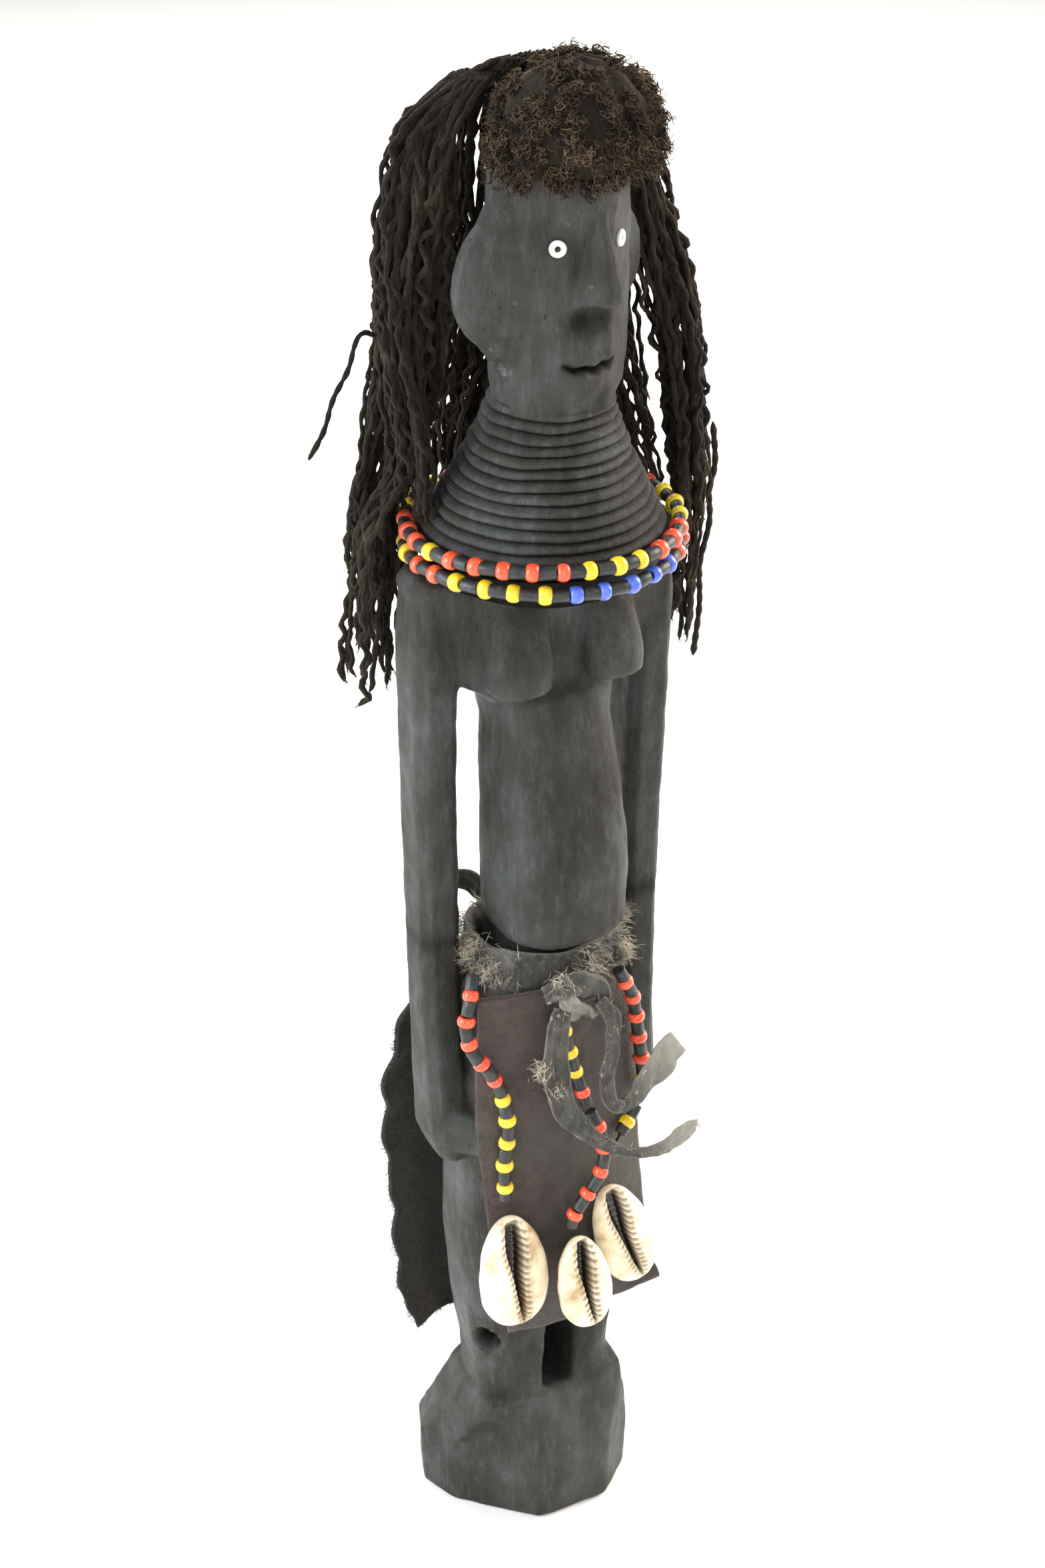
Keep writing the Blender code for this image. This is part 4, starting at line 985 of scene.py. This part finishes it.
def bead_string(name, keys, colours, lead, body, seed):
    """Seed beads with cut tubes between them, on one thread."""
    rng = random.Random(seed)
    route = evenly(smooth_route(keys), 0.4)
    total = sum((b - a).length for a, b in zip(route, route[1:]))

    def at(distance):
        i = min(max(int(distance / total * (len(route) - 1)), 0), len(route) - 2)
        return route[i], (route[i + 1] - route[i]).normalized()

    stops = [lead + i * PITCH for i in range(len(colours))]
    beads = [(*at(stop), BEADS[LETTERS[letter]]) for stop, letter in zip(stops, colours)]
    ends = [0.0, *stops, total]
    tubes = []
    for first, second in zip(ends, ends[1:]):
        if second - first > 1.6:
            middle = (first + second) / 2
            if first and second < total:
                tubes.append((*at(middle), RUBBER))
            else:
                tubes.append((*at(first + 1.2 if first else second - 2.2), RUBBER))
    shape = bead_shape(STRING_BEAD)
    glass = lay_out(name + "_beads", shape, beads, body, rng, 0.08)
    shape = tube_shape(1.3, PITCH - STRING_BEAD + TUBE_OVERLAP)
    lay_out(name + "_tubes", shape, tubes, body, rng, 0.05)
    points, faces = [], []
    add_yarn(points, faces, route, 0.35, rng, twist=1.0, sides=6)
    thread = new_piece(name + "_cord", points, faces, WOOL, body)
    nodes = [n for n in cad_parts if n.startswith(name + "_bead_")]
    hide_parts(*nodes)
    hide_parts(name + "_thread")


bead_string(
    "string_right",
    [
        (-21.0, -18.8, 155.2), (-22.6, -20.9, 152.0), (-24.1, -22.0, 146.5), (-23.2, -23.4, 141.2),
        on_apron(-16.9, 137.1, 1.0), on_apron(-14.7, 132.3), on_apron(-13.7, 127.2),
        on_apron(-13.4, 122.1), on_apron(-14.2, 116.8), on_apron(-14.6, 111.8), on_apron(-14.6, 106.0),
    ],
    "oooooyyyyy", 3.4, "string_right", 51,
)  # fmt: skip
bead_string(
    "string_middle_upper",
    [
        on_apron(-1.6, 144.6), on_apron(-1.0, 141.4), on_apron(0.2, 135.6), on_apron(1.8, 129.4),
        on_apron(3.0, 124.4, 0.9),
    ],
    "yyyo", 2.6, "apron", 52,
)  # fmt: skip
bead_string(
    "string_middle_lower",
    [
        on_apron(3.6, 122.5, 1.5), on_apron(4.9, 118.0, 2.5), on_apron(5.2, 113.6, 3.3),
        on_apron(3.3, 109.2, 3.6), on_apron(0.3, 105.4, 3.3), on_apron(-2.4, 101.4, 3.0),
        on_apron(-2.9, 98.8, 2.8),
    ],
    "ooooo", 3.2, "crossed_strings", 53,
)  # fmt: skip
bead_string(
    "string_left_upper",
    [
        (9.2, -23.9, 149.6), (10.2, -24.1, 147.4), (11.6, -24.0, 144.5), (12.8, -23.6, 139.6),
        (13.6, -23.9, 133.0), (14.4, -24.6, 124.0), (14.2, -24.8, 119.8),
    ],
    "oooooy", 2.0, "apron", 54,
)  # fmt: skip
bead_string(
    "string_left_lower",
    [
        on_apron(17.0, 118.6), on_apron(15.0, 116.4), on_apron(11.4, 113.4), on_apron(8.6, 109.9),
        on_apron(7.0, 107.4),
    ],
    "y", 5.4, "crossed_strings", 55,
)  # fmt: skip


def cowrie(name, top, bottom, width, depth, body, seed):
    """A cowrie shell, its toothed mouth to the front and slightly curved, with a domed back."""
    rng = random.Random(seed)
    top, bottom = Vector(top), Vector(bottom)
    along = (top - bottom).normalized()
    length = (top - bottom).length
    front = (Vector((0, -1, 0)) - along * along.dot(Vector((0, -1, 0)))).normalized()
    across = along.cross(front)
    middle = (top + bottom) / 2
    bpy.ops.mesh.primitive_uv_sphere_add(segments=160, ring_count=160, radius=1.0)
    obj = bpy.context.object
    obj.name = name + "_seen"
    mouth = obj.data.attributes.new("mouth", "FLOAT", "POINT")
    teeth = obj.data.attributes.new("teeth", "FLOAT", "POINT")
    bend = rng.uniform(0.5, 0.8)
    for i, vertex in enumerate(obj.data.vertices):
        x, y, t = vertex.co
        ring = max(1e-6, math.sqrt(x * x + y * y))
        cx, cy = x / ring, y / ring
        swell = max(0.0, 1 - t * t) ** 0.44 * (1.0 - 0.18 * t + 0.04 * noise.noise(Vector((t * 3, cx, seed))))
        u = cx * width / 2 * swell
        facing = -cy
        v = facing * depth / 2 * swell * (0.78 if facing > 0 else 1.0)
        line = u - (bend * (t * t) * 1.6 - 0.5)
        dark = grooves = 0.0
        if facing > 0:
            reach = max(0.0, 1 - (abs(t) / 0.96) ** 8)
            uneven = 0.3 * noise.noise(Vector((t * 4, seed, 2)))
            comb = 0.5 + 0.5 * math.cos(2 * math.pi * (t * length / 2 + 0.25 * abs(line) + uneven) / 1.45)
            widest = 0.58 + 0.42 * t + 0.4 * math.exp(-(((t - 0.5) / 0.32) ** 2))
            gap = width / 10.5 * widest + 0.1 * comb
            v -= 3.0 * math.exp(-((line / gap) ** 4)) * reach
            v += 0.5 * math.exp(-(((abs(line) - gap - 1.0) / 0.9) ** 2)) * reach
            lip = 1.05 if line > 0 else 0.6
            span = math.exp(-(((abs(line) - gap - 0.6) / lip) ** 2)) * reach if abs(line) > gap else reach
            v -= 0.4 * comb * span
            # painted shade along the slit of the mouth
            dark = min(1.0, 1.2 * math.exp(-((line / (gap * 0.98)) ** 6)) * reach)
            grooves = min(1.0, (0.12 + 0.8 * comb**1.6) * span)
        vertex.co = (middle + along * t * length / 2 + across * u + front * v) * MM
        mouth.data[i].value = dark
        teeth.data[i].value = grooves
    obj.data.shade_smooth()
    obj.data.materials.append(SHELL)
    bm = bmesh.new()
    bm.from_mesh(obj.data)
    bmesh.ops.recalc_face_normals(bm, faces=bm.faces)
    bm.to_mesh(obj.data)
    bm.free()
    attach(obj, body)
    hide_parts(name)


def hung(x, z, off):
    return (x + APRON_X, apron_front(z) + 0.012 * x * x - 0.55 - 0.3 - off, z)


cowrie("cowrie_right", hung(-16.0, 104.6, 5.2), hung(-15.0, 79.2, 5.4), 14.8, 9.6, "cowrie_right", 61)
cowrie("cowrie_middle", hung(-2.7, 97.8, 6.4), hung(-1.2, 77.0, 7.8), 11.6, 8.0, "cowrie_middle", 62)
cowrie("cowrie_left", hung(5.6, 105.2, 4.4), hung(13.6, 79.4, 4.6), 12.8, 7.6, "crossed_strings", 63)


# Leather and hide ---------------------------------------------------------------------


def hide_sheet(name, finish, across, down, place, thickness, body, node):
    """A hide panel from place(u, v), with u across it and v down it, and its own thickness."""
    points = [Vector(place(i / across, j / down)) * MM for j in range(down + 1) for i in range(across + 1)]
    faces = []
    for j in range(down):
        for i in range(across):
            a = j * (across + 1) + i
            faces.append((a, a + 1, a + across + 2, a + across + 1))
    obj = new_piece(name, points, faces, finish, body)
    apply_modifier(obj, "SOLIDIFY", thickness=thickness * MM, offset=0.0)
    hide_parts(node)


def table_at(levels, z):
    """The row of a table of levels at a height, between its neighbours."""
    for a, b in zip(levels, levels[1:]):
        if a[0] >= z >= b[0]:
            t = (a[0] - z) / (a[0] - b[0])
            t = t * t * (3 - 2 * t)
            return [p + (q - p) * t for p, q in zip(a, b)]
    return list(levels[0] if z > levels[0][0] else levels[-1])


APRON_LEVELS = [
    (154.0, -17.2, 15.0, 0.0, 0.0), (147.0, -16.6, 15.5, 0.0, 0.0), (138.0, -17.8, 17.2, 0.0, 0.0),
    (122.0, -18.4, 17.6, 0.0, 0.0), (104.0, -17.6, 17.8, 0.0, 0.2), (88.0, -16.4, 18.2, 0.6, 0.8),
    (79.0, -15.4, 18.8, 1.6, 2.0), (72.0, -14.6, 19.6, 3.4, 3.6),
]  # fmt: skip


def apron_place(u, v):
    z = 151.0 - 79.0 * v
    _, left, right, lift, curl = table_at(APRON_LEVELS, z)
    left += 0.5 * noise.noise(Vector((1, 1, z * 0.16)))
    right += 0.6 * noise.noise(Vector((7, 3, z * 0.18)))
    x = left + (right - left) * u
    y = min(apron_front(z), -23.3) + 0.012 * x * x - curl * max(0.0, u - 0.55) ** 2 * 7
    y += 0.35 * noise.noise(Vector((x * 0.11, z * 0.09, 2))) + 0.12 * noise.noise(Vector((x * 0.5, z * 0.35, 5)))
    low = lift * u**1.6 + 0.9 * noise.noise(Vector((x * 0.2, 4, 4))) * v**4
    return (x + APRON_X, y, z + low)


hide_sheet(
    "leather_apron", LEATHER, 60, 110, apron_place, 1.0, "apron",
    "front_apron",
)  # fmt: skip

SKIRT_LEVELS = [
    (147.0, 15.0, 8.0), (138.0, 21.5, 10.4), (126.0, 24.2, 13.0), (112.0, 26.2, 15.2),
    (98.0, 26.2, 16.4), (84.0, 25.0, 17.0), (70.0, 24.2, 17.4), (56.0, 23.2, 17.8), (46.0, 22.0, 18.2),
    (37.0, 18.0, 18.6),
]  # fmt: skip


def skirt_place(u, v):
    z = 147.0 - 110.0 * v
    _, half, deep = table_at(SKIRT_LEVELS, z)
    share = 2 * u - 1
    scallop = 0.9 * abs(math.sin(z * 0.21 + (1.3 if share > 0 else 0)))
    scallop += 0.8 * noise.noise(Vector((share * 3, 0, z * 0.14)))
    half += scallop * abs(share) ** 6 - 0.6
    ripple = 0.7 * math.sin(3.2 * math.pi * share + z * 0.04)
    ripple += 0.4 * noise.noise(Vector((share * 2.5, 3, z * 0.05)))
    y = deep - 4.6 * share**2 * (z / 147.0) + ripple + 0.12 * noise.noise(Vector((share * 12, 1, z * 0.4)))
    hem = 1.6 * noise.noise(Vector((share * 4, 8, 2))) * v**8
    return (half * share, y, z - 2.0 * math.cos(5 * share) + hem)


hide_sheet(
    "goatskin_skirt", SKIRT, 80, 130, skirt_place, 1.2, "skirt",
    "back_skirt",
)  # fmt: skip


def tufts(name, roots, finish, body, rng, long, width, bend=0.35):
    """Loose hairs from (place, direction) roots."""
    points, faces = [], []
    for place, heading in roots:
        route = [place]
        heading = (heading + jitter(rng, 0.3)).normalized()
        step = rng.uniform(0.6, 1.25) * long / 5
        for _ in range(5):
            heading = (heading + jitter(rng, bend * 0.5) + Vector((0, 0, -0.04))).normalized()
            route.append(route[-1] + heading * step)
        add_fibre(points, faces, route, width)
    return new_piece(name, points, faces, finish, body, smooth=False)


def skirt_fringe():
    rng = random.Random(71)
    roots = []
    for _ in range(1500):
        edge = rng.choice((0.0, 1.0, 2.0))
        v = rng.uniform(0.06, 1.0)
        u, v = (rng.uniform(0, 1), 1.0) if edge == 2.0 else (edge, v)
        place = Vector(skirt_place(u, v))
        out = Vector((1 if u > 0.5 else -1, 0.2, -0.2)) if edge != 2.0 else Vector((0, 0.1, -1))
        roots.append((place + jitter(rng, 0.25), out))
    tufts("skirt_edge_hair", roots, DARK_HAIR, "skirt", rng, 1.6, 0.07)


skirt_fringe()


def waist_band():
    """The hide strip wound twice round the waist, creased and uneven, with its hair still on in places."""
    rng = random.Random(81)
    around, ring = 150, 20
    points, faces = [], []
    for j in range(around):
        angle = 2 * math.pi * j / around
        c, s = math.cos(angle), math.sin(angle)
        super_c = math.copysign(abs(c) ** (2 / 2.3), c)
        super_s = math.copysign(abs(s) ** (2 / 2.3), s)
        for i in range(ring):
            t = 2 * math.pi * i / ring
            fold = 1 + 0.12 * noise.noise(Vector((c * 2.5, s * 2.5, t * 1.4)))
            out = math.cos(t) * 1.25 * fold + 0.35 * math.sin(2 * t + 2 * angle)
            up = math.sin(t) * 4.6 * fold
            thick = 14.5 + out + 0.5 * noise.noise(Vector((c * 4, s * 4, 1)))
            deep = 13.1 + out + 0.5 * noise.noise(Vector((c * 4, s * 4, 5)))
            slope = -s * 0.4
            level = 152.2 + up + slope + 0.5 * noise.noise(Vector((c * 2, s * 2, 3)))
            points.append(Vector((thick * super_c, -8.0 + deep * super_s, level)) * MM)
    for j in range(around):
        for i in range(ring):
            k, m = (i + 1) % ring, (j + 1) % around
            faces.append((j * ring + i, j * ring + k, m * ring + k, m * ring + i))
    obj = new_piece("waist_band", points, faces, RAWHIDE, "figure")
    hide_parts("waist_strap")
    roots, dark = [], []
    for _ in range(1500):
        angle = rng.uniform(0, WHOLE_TURN)
        c, s = math.cos(angle), math.sin(angle)
        reach = rng.uniform(0.94, 1.06)
        place = Vector((15.2 * reach * c, -8.0 + 13.8 * reach * s, rng.uniform(148.5, 157.0)))
        out = Vector((c, s, rng.uniform(-0.3, 0.9)))
        clump = noise.noise(Vector((c * 2.2, s * 2.2, 7)))
        (roots if clump > 0.02 else dark).append((place, out))
    tufts("waist_hair_pale", roots, BLOND, "figure", rng, 3.6, 0.07)
    tufts("waist_hair_dark", dark, DARK_HAIR, "figure", rng, 2.6, 0.07)


waist_band()


def strap(name, keys, half_widths, leans, thickness, finish, body, node, seed, frayed=True):
    """A strip of hide along a route. A lean of 0 lays its width across X and 90 stands it upright."""
    rng = random.Random(seed)
    per = 8
    route = smooth_route(keys, per)
    count = len(route)
    cross = 13
    points, faces, ends = [], [], []
    for i, place in enumerate(route):
        t = i / per
        k = min(int(t), len(keys) - 2)
        share = t - k
        half = half_widths[k] + (half_widths[k + 1] - half_widths[k]) * share
        lean = math.radians(leans[k] + (leans[k + 1] - leans[k]) * share)
        along = (route[min(i + 1, count - 1)] - route[max(i - 1, 0)]).normalized()
        wide = Vector((math.cos(lean), 0, math.sin(lean)))
        wide = (wide - along * wide.dot(along)).normalized()
        thick = along.cross(wide).normalized()
        for j in range(cross):
            v = 2 * j / (cross - 1) - 1
            ragged = 1 + 0.16 * noise.noise(Vector((i * 0.22, v * 0.6, seed)))
            ragged += 0.07 * noise.noise(Vector((i * 0.9, v, seed + 3)))
            edge = half * ragged
            curl = 0.3 * half * (v * v - 0.3) * noise.noise(Vector((i * 0.09, 2, seed))) * 2.2
            wrinkle = 0.5 * noise.noise(Vector((i * 0.26, v * 1.6, seed + 9)))
            wrinkle += 0.22 * noise.noise(Vector((i * 0.7, v * 3.2, seed + 12)))
            points.append((place + wide * edge * v + thick * (curl + wrinkle)) * MM)
            ends.append(max(0.0, (i / count - 0.55) / 0.45) ** 1.3)
    for i in range(count - 1):
        for j in range(cross - 1):
            a = i * cross + j
            faces.append((a, a + 1, a + cross + 1, a + cross))
    obj = new_piece(name, points, faces, finish, body)
    mark_points(obj, "pale", ends if frayed else [0.0] * len(ends))
    apply_modifier(obj, "SOLIDIFY", thickness=thickness * MM, offset=0.0)
    apply_modifier(obj, "SUBSURF", levels=1, render_levels=1)
    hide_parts(node)
    if frayed:
        roots = []
        for _ in range(60):
            a, b = route[-1], route[-2]
            roots.append((a + jitter(rng, half_widths[-1] * 0.35), (a - b).normalized()))
        for _ in range(90):
            i = rng.randrange(2, count - 2)
            roots.append((route[i] + Vector((rng.uniform(-1, 1), 0, rng.uniform(-1, 1))), jitter(rng, 1)))
        tufts(name + "_fray", roots, BLOND, body, rng, 1.8, 0.05)


UPPER_TAIL = [
    (1.6, -28.6, 149.0), (3.6, -30.3, 145.2), (3.2, -31.4, 139.0), (1.4, -32.2, 132.5),
    (1.8, -33.6, 127.6), (4.4, -34.2, 126.2), (7.4, -34.0, 127.6), (10.8, -33.4, 130.4),
    (14.4, -32.6, 133.4), (18.0, -31.6, 135.8),
]  # fmt: skip
LOWER_TAIL = [
    (-6.4, -28.4, 149.4), (-8.2, -29.8, 145.6), (-9.2, -31.0, 137.0), (-7.6, -32.0, 128.0),
    (-3.2, -34.6, 121.6), (2.2, -37.4, 118.2), (7.6, -38.4, 116.4), (12.8, -37.2, 115.4),
    (17.8, -34.8, 114.6), (22.2, -33.4, 114.4),
]  # fmt: skip
strap("strap_end_upper", UPPER_TAIL, (1.4, 1.8, 1.5, 1.6, 1.5, 1.7, 2.4, 3.4, 4.2, 3.6), (0, 15, 30, 60, 80, 95, 100, 105, 108, 110), 0.6,
      RAWHIDE, "tail_upper", "strap_tail_upper", 91)  # fmt: skip
strap("strap_end_lower", LOWER_TAIL, (2.0, 2.5, 2.9, 2.6, 1.8, 1.2, 1.2, 1.8, 2.5, 1.5), (0, 0, 5, 25, 60, 85, 92, 96, 100, 100), 0.6,
      RAWHIDE, "tail_lower", "strap_tail_lower", 92)  # fmt: skip
strap("hide_tie_loop", [(-1.0, 7.6, 149.0), (-3.0, 8.6, 151.0), (-7.4, 8.8, 158.0), (-13.0, 7.8, 160.6), (-18.0, 6.2, 158.0), (-20.4, 5.4, 151.6)],
      (1.4, 1.7, 2.1, 2.2, 1.9, 1.3), (80, 80, 70, 60, 45, 35), 0.8, RAWHIDE, "figure", "tie_loop", 93, frayed=False)  # fmt: skip
strap("strap_knot_loop", [(-8.4, -24.9, 150.6), (-6.0, -26.9, 153.4), (-2.2, -28.0, 153.6), (1.8, -27.8, 151.0), (2.6, -26.6, 147.4), (-0.8, -27.6, 146.6), (-4.4, -28.4, 148.8), (-5.0, -27.2, 152.4)],
      (1.8, 2.3, 2.6, 2.4, 1.9, 2.1, 2.3, 1.4), (60, 40, 10, -30, -60, -10, 40, 70), 1.2, RAWHIDE, "figure", "strap_knot", 94)  # fmt: skip


# Each tuft: its middle, the way it points, its number of hairs and how far they spread.
STRAP_TUFTS = (
    ((-5.6, -26.4, 154.0), (-0.3, -0.8, 0.1), 110, 1.6),
    ((12.0, -18.6, 152.0), (0.7, -0.7, -0.5), 190, 1.5),
    ((15.6, -12.0, 155.0), (0.9, -0.2, 0.7), 110, 1.3),
    ((-16.4, -9.4, 155.4), (-0.6, -0.5, 0.6), 260, 2.2),
    ((-15.4, -1.0, 156.4), (-0.8, 0.1, 0.7), 160, 2.2),
    ((-15.6, -14.0, 152.4), (-0.8, -0.7, 0.0), 130, 2.0),
    ((2.6, -23.4, 153.6), (0.3, -0.9, 0.2), 60, 2.2),
)
FLAP_TUFTS = (
    ((-12.6, -31.2, 139.0), (-0.9, -0.4, 0.0), 90, 1.5),
    ((-9.6, -31.6, 133.6), (-0.3, -0.9, 0.0), 40, 1.8),
)


def loose_goat_hair():
    """Tufts of the hide's own hair that stand out round the knot, the flap and the strap."""
    rng = random.Random(97)
    pieces = (("strap_tufts", "figure", 3.0, STRAP_TUFTS), ("flap_tufts", "tail_lower", 2.4, FLAP_TUFTS))
    for name, body, long, spots in pieces:
        roots = []
        for middle, way, count, spread in spots:
            for _ in range(count):
                place = Vector(middle) + jitter(rng, spread * 0.6)
                roots.append((place, (Vector(way) + jitter(rng, 0.35)).normalized()))
        tufts(name, roots, BLOND, body, rng, long, 0.055, 0.5)


loose_goat_hair()


# Floor and light ----------------------------------------------------------------------


def studio():
    bpy.ops.mesh.primitive_plane_add(size=6.0, location=(0, 0, -0.0002))
    floor = bpy.context.object
    floor.name = "floor"
    paper, _, body, _ = finish_named("white_paper", 0.9, Specular_IOR_Level=0.1)
    body.inputs["Base Color"].default_value = tone("#fbfaf7")
    floor.data.materials.append(paper)
    world = bpy.data.worlds.new("studio")
    world.use_nodes = True
    world.node_tree.nodes["Background"].inputs["Color"].default_value = (1.0, 0.99, 0.97, 1)
    world.node_tree.nodes["Background"].inputs["Strength"].default_value = 0.75
    bpy.context.scene.world = world
    for name, spot, size, power, colour in (
        ("window", (-1.0, 0.15, 0.55), 0.8, 16.0, "#f2f6ff"),
        ("room", (0.95, -0.05, 0.6), 0.7, 16.0, "#fff6ea"),
        ("behind", (0.25, 1.0, 0.9), 0.9, 16.0, "#ffffff"),
        ("front", (-0.35, -1.2, 0.7), 0.9, 6.0, "#ffffff"),
    ):
        lamp = bpy.data.objects.new(name, bpy.data.lights.new(name, "AREA"))
        lamp.data.size = size
        lamp.data.energy = power
        lamp.data.color = tone(colour)[:3]
        lamp.location = spot
        lamp.rotation_euler = (Vector((0, 0, 0.17)) - Vector(spot)).to_track_quat("-Z", "Y").to_euler()
        bpy.context.scene.collection.objects.link(lamp)
    bpy.context.scene.view_settings.view_transform = "Standard"


studio()
